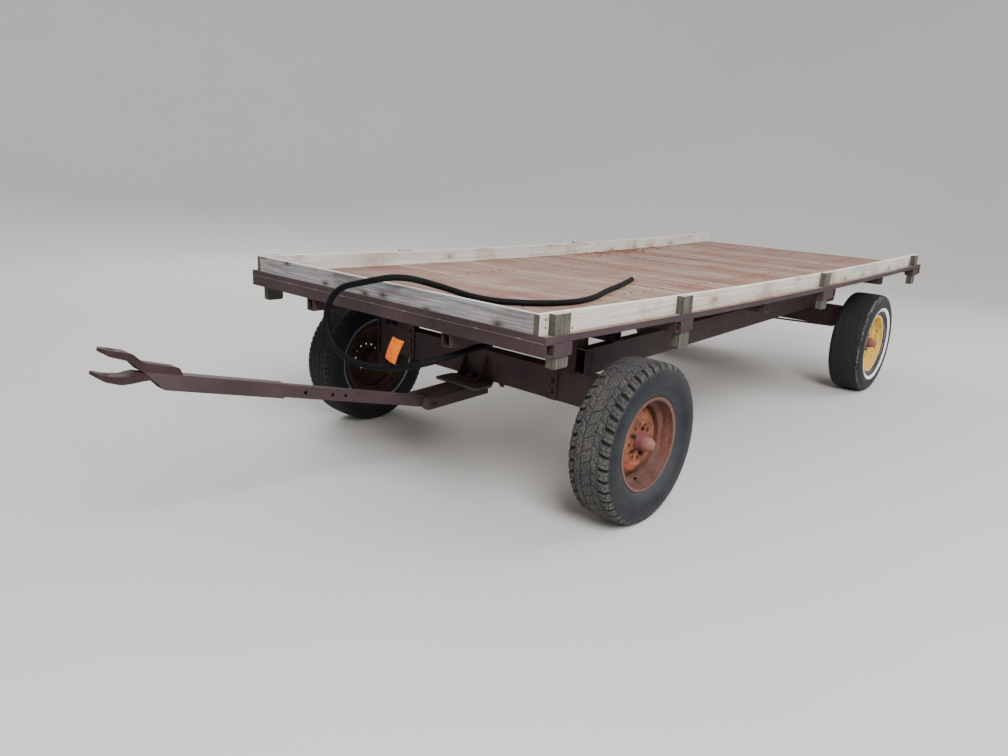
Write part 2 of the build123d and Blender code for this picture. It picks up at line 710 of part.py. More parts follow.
# Knuckles: a yoke on the kingpin, a spindle for the wheel and a steering arm to the rear
YOKE_T = 15.0
YOKE_OUT = 47.0
for name, hand in (("knuckle_left", 1), ("knuckle_right", -1)):
    with BuildPart() as knuckle:
        x = sx(FRONT_AXLE)
        y = hand * KINGPIN_Y
        y_plate = hand * (KINGPIN_Y + YOKE_OUT)
        rod_z(x, y, BOSS_Z0 - 16, BOSS_Z1 + 16, KING_R)
        for z0 in (BOSS_Z0 - 1 - YOKE_T, BOSS_Z1 + 1):
            rod_z(x, y, z0, z0 + YOKE_T, BOSS_R)
            block(x - 26, x + 26, y, y_plate, z0, z0 + YOKE_T)
        block(x - 26, x + 26, y_plate - hand * 14, y_plate, TYRE_R - 28, BOSS_Z1 + 1 + YOKE_T)
        rod_y(x, TYRE_R, y_plate - hand * 7, hand * (FRONT_TRACK / 2 + SPINDLE_OUT), SPINDLE_R)
        arm_x = sx(ARM_PIN[0])
        arm_y = hand * ARM_PIN[1]
        top_outline(
            [
                (x + 10, y - hand * 20), (x + 20, y + hand * 24), (x - 20, y + hand * 30),
                (arm_x - 6, arm_y + hand * 16), (arm_x - 18, arm_y),
                (arm_x - 6, arm_y - hand * 16), (x - 20, y - hand * 20),
            ],
            BOSS_Z0 - 15, BOSS_Z0 - 2,
        )
        rod_z(arm_x, arm_y, TIE_Z - TIE_EYE_HALF - 3, BOSS_Z0 - 10, STUD_R)
    save(knuckle, name)

# Tie rods between the steering plate's studs and the knuckles' arms
TIE_OUT_EYE_R = 29.0
TIE_OUT_HOLE_R = STUD_R + 13
for name, hand in (("tie_rod_left", 1), ("tie_rod_right", -1)):
    with BuildPart() as tie_rod:
        ax, ay = sx(TIE_IN[0]), hand * TIE_IN[1]
        bx, by = sx(ARM_PIN[0]), hand * ARM_PIN[1]
        span = hypot(bx - ax, by - ay)
        ux, uy = (bx - ax) / span, (by - ay) / span
        rod_z(ax, ay, TIE_Z - TIE_EYE_HALF, TIE_Z + TIE_EYE_HALF, 18)
        rod_z(bx, by, TIE_Z - TIE_EYE_HALF, TIE_Z + TIE_EYE_HALF, TIE_OUT_EYE_R)
        rod_between(
            (ax + 12 * ux, ay + 12 * uy, TIE_Z),
            (bx - (TIE_OUT_EYE_R - 4) * ux, by - (TIE_OUT_EYE_R - 4) * uy, TIE_Z), TIE_R,
        )
        for x, y, r in ((ax, ay, STUD_R + FIT), (bx, by, TIE_OUT_HOLE_R)):
            rod_z(x, y, TIE_Z - TIE_EYE_HALF - 1, TIE_Z + TIE_EYE_HALF + 1, r, mode=Mode.SUBTRACT)
    save(tie_rod, name)

# Hoist cylinder: barrel and rod on one line, as distances from the foot pin
BARREL_R = 50.0
BARREL_WALL = 8.0
ROD_R = 24.0
BARREL_START = 85.0
BARREL_END = 1090.0
HEAD_T = 30.0
BASE_T = 35.0
PISTON_START = 800.0
PISTON_T = 40.0
EYE_HALF = HOIST_LUG_IN - 2


def hoist(d):
    """Place on the hoist's line, d from its foot towards its eye."""
    c = cos(radians(hoist_pitch))
    s = sin(radians(hoist_pitch))
    return (sx(HOIST_FOOT[0]) - d * c, 0, HOIST_FOOT[1] + d * s)


with BuildPart() as hoist_barrel:
    rod_between(hoist(BARREL_START), hoist(BARREL_END), BARREL_R)
    rod_between(
        hoist(BARREL_START + BASE_T), hoist(BARREL_END - HEAD_T),
        BARREL_R - BARREL_WALL, mode=Mode.SUBTRACT,
    )
    rod_between(hoist(BARREL_END - 8), hoist(BARREL_END + 6), BARREL_R + 6)
    rod_between(
        hoist(BARREL_END - HEAD_T - 10), hoist(BARREL_END + 10), ROD_R + FIT, mode=Mode.SUBTRACT,
    )
    rod_y(sx(HOIST_FOOT[0]), HOIST_FOOT[1], -EYE_HALF, EYE_HALF, 27)
    rod_between(hoist(10), hoist(BARREL_START + 4), 26)
    rod_y(
        sx(HOIST_FOOT[0]), HOIST_FOOT[1], -EYE_HALF - 28, EYE_HALF + 28,
        HOIST_PIN_R + FIT, mode=Mode.SUBTRACT,
    )
save(hoist_barrel, "hoist_barrel")

with BuildPart() as hoist_rod:
    rod_between(hoist(PISTON_START), hoist(hoist_len - 14), ROD_R)
    rod_between(
        hoist(PISTON_START), hoist(PISTON_START + PISTON_T), BARREL_R - BARREL_WALL - FIT,
    )
    rod_y(sx(HOIST_EYE[0]), HOIST_EYE[1], -EYE_HALF, EYE_HALF, HOIST_EYE_R)
    rod_y(
        sx(HOIST_EYE[0]), HOIST_EYE[1], -EYE_HALF - 28, EYE_HALF + 28,
        HOIST_PIN_R + 2, mode=Mode.SUBTRACT,
    )
save(hoist_rod, "hoist_rod")

# Hoist hose: it leaves an adaptor on the left long tube, hangs in a loop ahead of the deck,
# crosses the front board and lies on the planks
HOSE_R = 14.0
HOSE_LIFT = HOSE_R + 0.3


def on_deck(behind, y):
    """A point of the hose that lies on the planks."""
    return (sx(behind), y, PLANK_Z1 - sag(behind) + HOSE_LIFT)


HOSE_ROUTE = (
    (sx(400), 430, 780),
    (sx(250), 432, 769),
    (sx(85), 474, 770),
    (sx(-75), 433, 740),
    (sx(-130), 272, 692),
    (sx(-146), 98, 680),
    (sx(-153), -68, 709),
    (sx(-155), -141, 848),
    (sx(-145), -70, 986),
    (sx(-105), 95, 1034),
    (sx(-30), 217, 1069),
    (sx(91), 319, 1035),
    on_deck(365, 312),
    on_deck(504, 496),
    on_deck(711, 569),
    on_deck(933, 534),
    on_deck(1218, 412),
    on_deck(1500, 323),
    on_deck(1770, 208),
)


def bend_radii(route):
    """The largest radius that each corner's two runs allow."""
    radii = []
    for before, here, after in zip(route, route[1:], route[2:]):
        run_in = Vector(*here) - Vector(*before)
        run_out = Vector(*after) - Vector(*here)
        turn = radians(run_in.get_angle(run_out))
        radii.append(0.45 * min(run_in.length, run_out.length) / tan(turn / 2))
    return radii


hose_radii = bend_radii(HOSE_ROUTE)
with BuildPart() as hose:
    with BuildLine() as hose_path:
        hose_line = FilletPolyline(*HOSE_ROUTE, radius=hose_radii)
    with BuildSketch(Plane(origin=hose_path.line @ 0, z_dir=hose_path.line % 0)) as sk:
        Circle(HOSE_R)
    sweep(sk.sketch, path=hose_path.line)
save(hose, "hose")
hose_length = hose_line.length
print("hose length", round(hose_length, 1), "radii", [round(r) for r in hose_radii])
hose_solid = sk.sketch.area * hose_length
print("tube volume over section times length", round(hose.part.volume / hose_solid, 4))

# Adaptor that the hose comes out of, on a bracket under the left long tube
PORT_X = HOSE_ROUTE[0][0]
with BuildPart() as hose_port:
    start = Vector(*HOSE_ROUTE[0])
    aim = (Vector(*HOSE_ROUTE[1]) - start).normalized()
    rail_low = RAIL_Z0 - sag(FX - PORT_X + 60) - SEAT
    block(PORT_X - 64, PORT_X - 56, 402, RAIL_Y + RAIL_W / 2, 752, rail_low)
    with BuildSketch(Plane(origin=start, z_dir=aim * -1)) as sk:
        RegularPolygon(19, 6)
    extrude(sk.sketch, amount=26)
    rod_between(tuple(start - aim * 25), tuple(start - aim * 78), 12)
save(hose_port, "hose_port")

# Coupling on the hose's free end
with BuildPart() as hose_fitting:
    end = Vector(*HOSE_ROUTE[-1])
    aim = (end - Vector(*HOSE_ROUTE[-2])).normalized()
    rod_between(tuple(end), tuple(end + aim * 34), HOSE_R)
    with BuildSketch(Plane(origin=end + aim * 33, z_dir=aim)) as sk:
        RegularPolygon(HOSE_R, 6)
    extrude(sk.sketch, amount=18)
    rod_between(tuple(end + aim * 50), tuple(end + aim * 78), 10)
save(hose_fitting, "hose_fitting")

# Wheels: (name, station, tyre centre plane, side, tyre wider than its section by, disc set out by)
WHEELS = (
    ("front_left", FRONT_AXLE, FRONT_TRACK / 2, 1, 12.0, 0.0),
    ("front_right", FRONT_AXLE, FRONT_TRACK / 2, -1, 12.0, 0.0),
    ("rear_left", REAR_AXLE, REAR_TRACK / 2, 1, 22.0, REAR_DISC_OUT),
    ("rear_right", REAR_AXLE, REAR_TRACK / 2, -1, 22.0, REAR_DISC_OUT),
)
# Tyre section as (across from the tyre's centre plane, radius)
TYRE_HALF = (
    (50.0, 204.0), (61.0, 207.5), (63.8, 219.3), (72.0, 223.0), (90.0, 258.0),
    (98.0, 296.0), (94.0, 336.0), (82.0, 362.0), (60.0, 372.0),
)
TYRE_INSIDE = ((60.0, 345.0), (72.0, 300.0), (64.0, 258.0), (50.0, 214.0))
# Rim section from its outboard flange round, its well set inboard, as (across, radius)
RIM_SECTION = (
    (70.0, 219.0), (64.0, 219.0), (62.0, 206.0), (16.0, 197.5), (2.0, 178.0),
    (-36.0, 178.0), (-48.0, 200.0), (-62.0, 206.0), (-64.0, 219.0), (-70.0, 219.0),
    (-68.0, 201.0), (-50.0, 194.0), (-38.0, 172.0), (5.0, 172.0), (20.0, 192.0), (68.0, 201.0),
)
# Wheel disc, a dome from the rim's well out to the flat round the hub, as (across, radius)
DISC_SECTION = (
    (23.0, 40.0), (23.0, 95.0), (29.0, 110.0), (19.0, 135.0), (-1.0, 156.0), (-13.0, 173.0),
    (-21.0, 173.0), (-8.0, 153.0), (13.0, 131.0), (22.0, 108.0), (17.0, 97.0), (17.0, 40.0),
)
# Hub behind the disc, and the cap that closes it in front
HUB_SECTION = (
    (17.0, SPINDLE_R + FIT), (17.0, 70.0), (3.0, 70.0), (-1.0, 52.0), (-66.0, 46.0),
    (-66.0, SPINDLE_R + FIT),
)
CAP_SECTION = (
    (17.0, 39.9), (23.1, 39.9), (23.1, 44.0), (32.0, 43.0), (86.0, 28.0), (98.0, 20.0),
    (103.0, 8.0), (103.5, 0.0), (82.0, 0.0), (76.0, 25.0), (17.0, 31.0),
)
# Hand holes in the disc's flat, and the valve's hole in the rim's slope
HAND_HOLES = 12
HAND_HOLE_R = 6.0
HAND_CIRCLE = 78.0
VALVE_R = 6.5
VALVE_CIRCLE = 185.0


def widened(points, wide):
    """A section with both its halves moved away from the centre plane."""
    return [(a + wide if a > 0 else a - wide, r) for a, r in points]


def set_out(points, by):
    """A section moved outboard."""
    return [(a + by, r) for a, r in points]


def turned(points, x, y, z, hand):
    """Revolve a section about a wheel's axle."""
    plane = Plane(origin=(x, y, z), x_dir=(0, hand, 0), z_dir=(1, 0, 0) if hand < 0 else (-1, 0, 0))
    with BuildSketch(plane) as sk:
        with BuildLine():
            Polyline(*points, close=True)
        make_face()
    revolve(sk.sketch, axis=Axis((x, y, z), (0, 1, 0)), revolution_arc=360)


for tag, behind, track, hand, wide, out in WHEELS:
    cx, cy = sx(behind), hand * track
    with BuildPart() as tyre:
        half = widened(TYRE_HALF, wide)
        inside = widened(TYRE_INSIDE, wide)
        outer = half + [(0.0, TYRE_R)] + [(-a, r) for a, r in reversed(half)]
        inner = [(-a, r) for a, r in reversed(inside)] + inside
        turned(outer + inner, cx, cy, TYRE_R, hand)
    save(tyre, f"tyre_{tag}")
    with BuildPart() as wheel:
        turned(widened(RIM_SECTION, wide), cx, cy, TYRE_R, hand)
        turned(set_out(DISC_SECTION, out), cx, cy, TYRE_R, hand)
        for n in range(HAND_HOLES):
            turn = radians(360 * n / HAND_HOLES)
            rod_y(
                cx + HAND_CIRCLE * cos(turn), TYRE_R + HAND_CIRCLE * sin(turn),
                cy, cy + hand * 60, HAND_HOLE_R, mode=Mode.SUBTRACT,
            )
        rod_y(cx, TYRE_R - VALVE_CIRCLE, cy, cy + hand * 60, VALVE_R, mode=Mode.SUBTRACT)
    save(wheel, f"wheel_{tag}")
    with BuildPart() as hub:
        turned(set_out(HUB_SECTION, out), cx, cy, TYRE_R, hand)
        turned(set_out(CAP_SECTION, out), cx, cy, TYRE_R, hand)
    save(hub, f"hub_{tag}")
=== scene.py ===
"""Dresses a flat deck dump trailer: worn paint, weathered timber, four unlike tyres and a hose.

Metres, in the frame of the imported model: +X forward, +Y to the left, +Z up, ground at Z = 0.
A name that ends in _mm holds millimetres.
"""
import json
import logging
import math
from collections.abc import Sequence
from dataclasses import dataclass
from enum import Enum

import bmesh
import bpy
import numpy as np
from mathutils import Matrix, Vector


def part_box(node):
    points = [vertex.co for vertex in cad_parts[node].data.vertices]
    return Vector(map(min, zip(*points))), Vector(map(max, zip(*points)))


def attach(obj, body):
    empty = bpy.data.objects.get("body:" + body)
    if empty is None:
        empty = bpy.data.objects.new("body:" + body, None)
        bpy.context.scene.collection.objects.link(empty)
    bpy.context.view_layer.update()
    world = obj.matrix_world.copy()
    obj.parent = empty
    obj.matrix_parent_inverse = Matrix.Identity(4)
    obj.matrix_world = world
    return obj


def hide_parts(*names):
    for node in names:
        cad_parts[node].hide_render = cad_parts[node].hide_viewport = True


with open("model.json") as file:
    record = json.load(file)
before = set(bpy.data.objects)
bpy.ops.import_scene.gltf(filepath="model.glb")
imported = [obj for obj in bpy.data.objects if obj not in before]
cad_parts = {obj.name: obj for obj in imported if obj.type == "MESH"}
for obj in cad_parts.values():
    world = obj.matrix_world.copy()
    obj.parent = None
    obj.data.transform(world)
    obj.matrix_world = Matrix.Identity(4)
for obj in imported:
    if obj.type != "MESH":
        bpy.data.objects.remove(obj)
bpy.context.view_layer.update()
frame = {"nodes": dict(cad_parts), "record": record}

MM = 0.001
FULL_TURN = 2 * math.pi
LOG = logging.getLogger("dump_trailer")

Socket = bpy.types.NodeSocket
Tree = bpy.types.NodeTree
Material = bpy.types.Material
Piece = bpy.types.Object
Point = Sequence[float]
Shape = tuple[np.ndarray, np.ndarray]
Painted = tuple[Socket, Socket | float, Socket]

# Sockets of the Mix node when it mixes colours, and its settings for that
FACTOR, A, B = 0, 6, 7
RGBA = {"out": 2, "data_type": "RGBA"}

HANDS = (("left", 1), ("right", -1))
# Wheel stations and the side of the trailer that each is on
SIDES = {"front_left": 1, "front_right": -1, "rear_left": 1, "rear_right": -1}


def linear(hex_colour: str) -> tuple[float, float, float, float]:
    """Turn an sRGB hex colour into the linear colour that a socket takes.

    Args:
        hex_colour: Six hex digits after a hash sign.

    Returns:
        Red, green, blue and a full alpha.
    """
    srgb = np.array([int(hex_colour[i:i + 2], 16) / 255 for i in (1, 3, 5)])
    lin = np.where(srgb <= 0.04045, srgb / 12.92, ((srgb + 0.055) / 1.055) ** 2.4)
    return (*lin.tolist(), 1.0)


def add(tree: Tree, kind: str, inputs: dict | Sequence = (), out: int | str = 0,
        **settings: object) -> Socket | None:
    """Add one shader node with its settings and links.

    Args:
        tree: The material's node tree.
        kind: The node's type, without its leading ShaderNode.
        inputs: Values of the first sockets in their order, or each socket's name or number with its
            value. A value is a socket to link, a hex colour or a plain value.
        out: Which of the node's outputs comes back.
        **settings: The node's own properties.

    Returns:
        The chosen output, or None where the node has none.
    """
    node = tree.nodes.new("ShaderNode" + kind)
    for key, value in settings.items():
        setattr(node, key, value)
    for key, value in inputs.items() if isinstance(inputs, dict) else enumerate(inputs):
        socket = node.inputs[key]
        if isinstance(value, Socket):
            tree.links.new(value, socket)
        else:
            socket.default_value = linear(value) if isinstance(value, str) else value
    return node.outputs[out] if node.outputs else None


@dataclass(frozen=True)
class Finish:
    """A surface finish; relief_mm is how deep its bump reads, sheen how strongly it mirrors."""

    name: str
    relief_mm: float = 0.4
    metallic: float = 0.0
    sheen: float = 0.28

    def paint(self, tree: Tree, place: Socket) -> Painted:
        """Draw the finish from Object coordinates; gives its colour, roughness and height."""
        raise NotImplementedError

    def build(self) -> Material:
        """Make the material, with its pattern read from Object coordinates.

        Returns:
            The new material.
        """
        material = bpy.data.materials.new(self.name)
        material.use_nodes = True
        tree = material.node_tree
        tree.nodes.clear()
        colour, roughness, height = self.paint(tree, add(tree, "TexCoord", out="Object"))
        bump = add(tree, "Bump", {"Height": height, "Distance": self.relief_mm * MM, "Strength": 1.0})
        shader = add(tree, "BsdfPrincipled", {
            "Base Color": colour, "Roughness": roughness, "Metallic": self.metallic, "Normal": bump,
            "Specular IOR Level": self.sheen,
        })
        add(tree, "OutputMaterial", {"Surface": shader})
        return material


class Grain(Enum):
    """The part's axis that a board's grain or a streak runs along."""

    LENGTH = 0
    WIDTH = 1
    HEIGHT = 2

    def scales(self, across_mm: float, along_mm: float) -> tuple[float, float, float]:
        """Find a pattern's scale on each axis.

        Args:
            across_mm: The streaks' spacing.
            along_mm: Their length along the grain.

        Returns:
            The scale on X, Y and Z.
        """
        scale = [1 / (across_mm * MM)] * 3
        scale[self.value] = 1 / (along_mm * MM)
        return tuple(scale)


@dataclass(frozen=True)
class Timber(Finish):
    """Sawn softwood left outdoors: long grey streaks, dark checks and stains along the grain.

    A share is the noise level above which a mark shows. bleached is how far upward faces are
    whitened, and flat is the axis through the board's thickness.
    """

    grain: Grain = Grain.LENGTH
    pale: str = "#cdc8bd"
    streak: str = "#8d877c"
    check: str = "#3a342e"
    stain: str = "#8a6a50"
    end: str = "#3d3226"
    bleach: str = "#efece4"
    streak_mm: float = 7.0
    run_mm: float = 300.0
    plank_mm: float = 0.0
    knot_mm: float = 0.0
    check_share: float = 0.60
    stain_share: float = 0.60
    knot_share: float = 0.75
    bleached: float = 0.0
    flat: int = 1

    def paint(self, tree: Tree, place: Socket) -> Painted:
        """Streaks and checks are noise drawn out along the grain; stains are rounder patches.

        Args:
            tree: The material's node tree.
            place: Object coordinates.

        Returns:
            Its colour, roughness and height.
        """
        # Grey streaks, the finer dark checks and broad bands, each by its spacing and its run
        streaks, fine, bands = (
            add(tree, "TexNoise", {
                "Vector": add(tree, "Mapping", {"Vector": place, "Scale": self.grain.scales(*size_mm)}),
                "Scale": 1.0, "Detail": detail, "Roughness": roughness,
            }) for size_mm, detail, roughness in (
                ((self.streak_mm, self.run_mm), 5.0, 0.65),
                ((self.streak_mm / 2.6, self.run_mm * 1.3), 3.0, 0.6),
                ((60.0, 900.0), 3.0, 0.5),
            ))
        patches = add(tree, "TexNoise", {"Vector": place, "Scale": 3.2, "Detail": 4.0, "Roughness": 0.62})
        streaked = add(tree, "MapRange", (streaks, 0.38, 0.66))
        banded = add(tree, "MapRange", (bands, 0.42, 0.68, 0.0, 0.55))
        share = self.stain_share
        stained = add(tree, "MapRange", (patches, share - 0.10, share + 0.14, 0.0, 0.85))
        colour = self.pale
        for mask, tint in ((streaked, self.streak), (banded, self.streak), (stained, self.stain)):
            colour = add(tree, "Mix", {FACTOR: mask, A: colour, B: tint}, **RGBA)
        if self.plank_mm:
            colour = self.tint_planks(tree, place, colour)
        if self.knot_mm:
            colour = self.draw_knots(tree, place, colour)
        checked = add(tree, "MapRange", (fine, self.check_share, self.check_share + 0.10))
        facing = add(tree, "TexCoord", out="Normal")
        sawn = add(tree, "SeparateXYZ", (facing,), out=self.grain.value)
        sawn = add(tree, "Math", (sawn,), operation="ABSOLUTE")
        sawn = add(tree, "MapRange", (sawn, 0.75, 0.9, 0.0, 0.92))
        layers = [(checked, self.check), (sawn, self.end)]
        if self.bleached:
            up = add(tree, "SeparateXYZ", (facing,), out="Z")
            layers.append((add(tree, "MapRange", (up, 0.6, 0.9, 0.0, self.bleached)), self.bleach))
        for mask, tint in layers:
            colour = add(tree, "Mix", {FACTOR: mask, A: colour, B: tint}, **RGBA)
        height = add(tree, "Math", (streaks, checked), operation="SUBTRACT")
        roughness = add(tree, "MapRange", (streaks, 0.0, 1.0, 0.72, 0.95))
        return colour, roughness, height

    def draw_knots(self, tree: Tree, place: Socket, colour: Socket) -> Socket:
        """Draw knots through the board: dark hearts in a brown ring, longer along the grain.

        Args:
            tree: The material's node tree.
            place: Object coordinates.
            colour: The timber so far.

        Returns:
            Its colour with the knots.
        """
        scale = self.grain.scales(self.knot_mm, 2.2 * self.knot_mm)
        spread = add(tree, "Mapping", {"Vector": place, "Scale": scale, "Location": (0.31, 0.17, 0.23)})
        axes = add(tree, "SeparateXYZ", (spread,)).node.outputs
        face = add(tree, "CombineXYZ", [axes[k] for k in range(3) if k != self.flat])
        away = add(tree, "TexVoronoi", {"Vector": face, "Scale": 1.0}, voronoi_dimensions="2D")
        for near, far, tint in ((0.06, 0.17, self.stain), (0.035, 0.06, self.check)):
            mask = add(tree, "MapRange", (away, near, far, self.knot_share, 0.0))
            colour = add(tree, "Mix", {FACTOR: mask, A: colour, B: tint}, **RGBA)
        return colour

    def tint_planks(self, tree: Tree, place: Socket, colour: Socket) -> Socket:
        """Give each plank its own tone: whole steps of X pick a value from white noise.

        Args:
            tree: The material's node tree.
            place: Object coordinates.
            colour: The timber so far.

        Returns:
            Its colour with each plank's tone.
        """
        step = add(tree, "SeparateXYZ", (place,), out="X")
        step = add(tree, "Math", (step, DECK_FRONT_X), operation="SUBTRACT")
        step = add(tree, "Math", (step, self.plank_mm * MM), operation="DIVIDE")
        step = add(tree, "Math", (step,), operation="FLOOR")
        pick = add(tree, "TexWhiteNoise", {"W": step}, noise_dimensions="1D")
        value = add(tree, "MapRange", (pick, 0.0, 1.0, 0.84, 1.12))
        hue = add(tree, "MapRange", (pick, 0.0, 1.0, 0.488, 0.512))
        return add(tree, "HueSaturation", {"Color": colour, "Value": value, "Hue": hue})


@dataclass(frozen=True)
class WornPaint(Finish):
    """Brushed enamel on rolled steel, faded and dusty, rusted through in specks and runs.

    Rust shows above rust_share of the noise; dust_share is the most dust that a level face has.
    """

    paint_hex: str = "#3d2a2b"
    faded: str = "#5b4543"
    rust: str = "#6b3a24"
    dust: str = "#8f8170"
    rust_share: float = 0.60
    dust_share: float = 0.5
    speck_mm: float = 9.0

    def paint(self, tree: Tree, place: Socket) -> Painted:
        """Broad noise fades the paint, finer noise lets rust through, upward faces gather dust.

        Args:
            tree: The material's node tree.
            place: Object coordinates.

        Returns:
            Its colour, roughness and height.
        """
        broad = add(tree, "TexNoise", {"Vector": place, "Scale": 2.6, "Detail": 5.0, "Roughness": 0.6})
        speck = add(tree, "TexNoise", {
            "Vector": place, "Scale": 1 / (self.speck_mm * MM), "Detail": 6.0, "Roughness": 0.7,
        })
        # Runs hang down, 22 mm apart and 260 mm long
        hanging = add(tree, "Mapping", {"Vector": place, "Scale": Grain.HEIGHT.scales(22.0, 260.0)})
        runs = add(tree, "TexNoise", {"Vector": hanging, "Scale": 1.0, "Detail": 4.0, "Roughness": 0.6})
        faded = add(tree, "MapRange", (broad, 0.36, 0.68))
        worn = add(tree, "Math", (broad, speck), operation="ADD")
        worn = add(tree, "Math", (worn, runs), operation="ADD")
        rusted = add(tree, "MapRange", (worn, 3 * self.rust_share - 0.12, 3 * self.rust_share + 0.06))
        up = add(tree, "SeparateXYZ", (add(tree, "TexCoord", out="Normal"),), out="Z")
        settle = add(tree, "MapRange", (up, 0.3, 1.0, 0.0, self.dust_share))
        cover = add(tree, "MapRange", (runs, 0.35, 0.65, 0.25))
        dusty = add(tree, "Math", (settle, cover), operation="MULTIPLY")
        colour = self.paint_hex
        for mask, tint in ((faded, self.faded), (rusted, self.rust), (dusty, self.dust)):
            colour = add(tree, "Mix", {FACTOR: mask, A: colour, B: tint}, **RGBA)
        roughness = add(tree, "MapRange", (worn, 1.2, 1.9, 0.58, 0.85))
        height = add(tree, "Math", (rusted, speck), operation="MULTIPLY")
        return colour, roughness, height


@dataclass(frozen=True)
class AxlePaint(WornPaint):
    """Worn enamel of a wheel or its cap, which changes with radius and along the axle.

    core is the colour near the axle, lip the one at the brim and tip the one furthest outside.
    Each is mixed in between its two distances in millimetres, up to its most.
    """

    centre: tuple[float, float, float] = (0.0, 0.0, 0.0)
    side: int = 1
    core: str = "#a8623f"
    core_mm: tuple[float, float] = (150.0, 172.0)
    core_most: float = 0.0
    lip: str = "#9c7f7a"
    lip_mm: tuple[float, float] = (203.0, 211.0)
    lip_most: float = 0.0
    tip: str = "#b08a84"
    tip_mm: tuple[float, float] = (70.0, 95.0)
    tip_most: float = 0.0

    def paint(self, tree: Tree, place: Socket) -> Painted:
        """Lay the core's, the lip's and the tip's colour over the worn paint.

        Args:
            tree: The material's node tree.
            place: Object coordinates.

        Returns:
            Its colour, roughness and height.
        """
        colour, roughness, height = super().paint(tree, place)
        from_hub = add(tree, "VectorMath", (place, self.centre), operation="SUBTRACT")
        reach = add(tree, "SeparateXYZ", (from_hub,), out="Y")
        reach = add(tree, "Math", (reach, float(self.side)), operation="MULTIPLY")
        level = add(tree, "VectorMath", (from_hub, (1.0, 0.0, 1.0)), operation="MULTIPLY")
        radius = add(tree, "VectorMath", (level,), out="Value", operation="LENGTH")
        cloud = add(tree, "TexNoise", {"Vector": place, "Scale": 22.0, "Detail": 5.0, "Roughness": 0.65})
        patchy = add(tree, "MapRange", (cloud, 0.40, 0.62, 0.15, self.core_most))
        core_m, lip_m, tip_m = (np.array(v) * MM for v in (self.core_mm, self.lip_mm, self.tip_mm))
        near = add(tree, "MapRange", (radius, *core_m, 1.0, 0.0))
        near = add(tree, "Math", (near, patchy), operation="MULTIPLY")
        brim = add(tree, "MapRange", (radius, *lip_m, 0.0, self.lip_most))
        far = add(tree, "MapRange", (reach, *tip_m, 0.0, self.tip_most))
        for mask, tint, most in ((near, self.core, self.core_most), (brim, self.lip, self.lip_most),
                                 (far, self.tip, self.tip_most)):
            if most:
                colour = add(tree, "Mix", {FACTOR: mask, A: colour, B: tint}, **RGBA)
        return colour, roughness, height


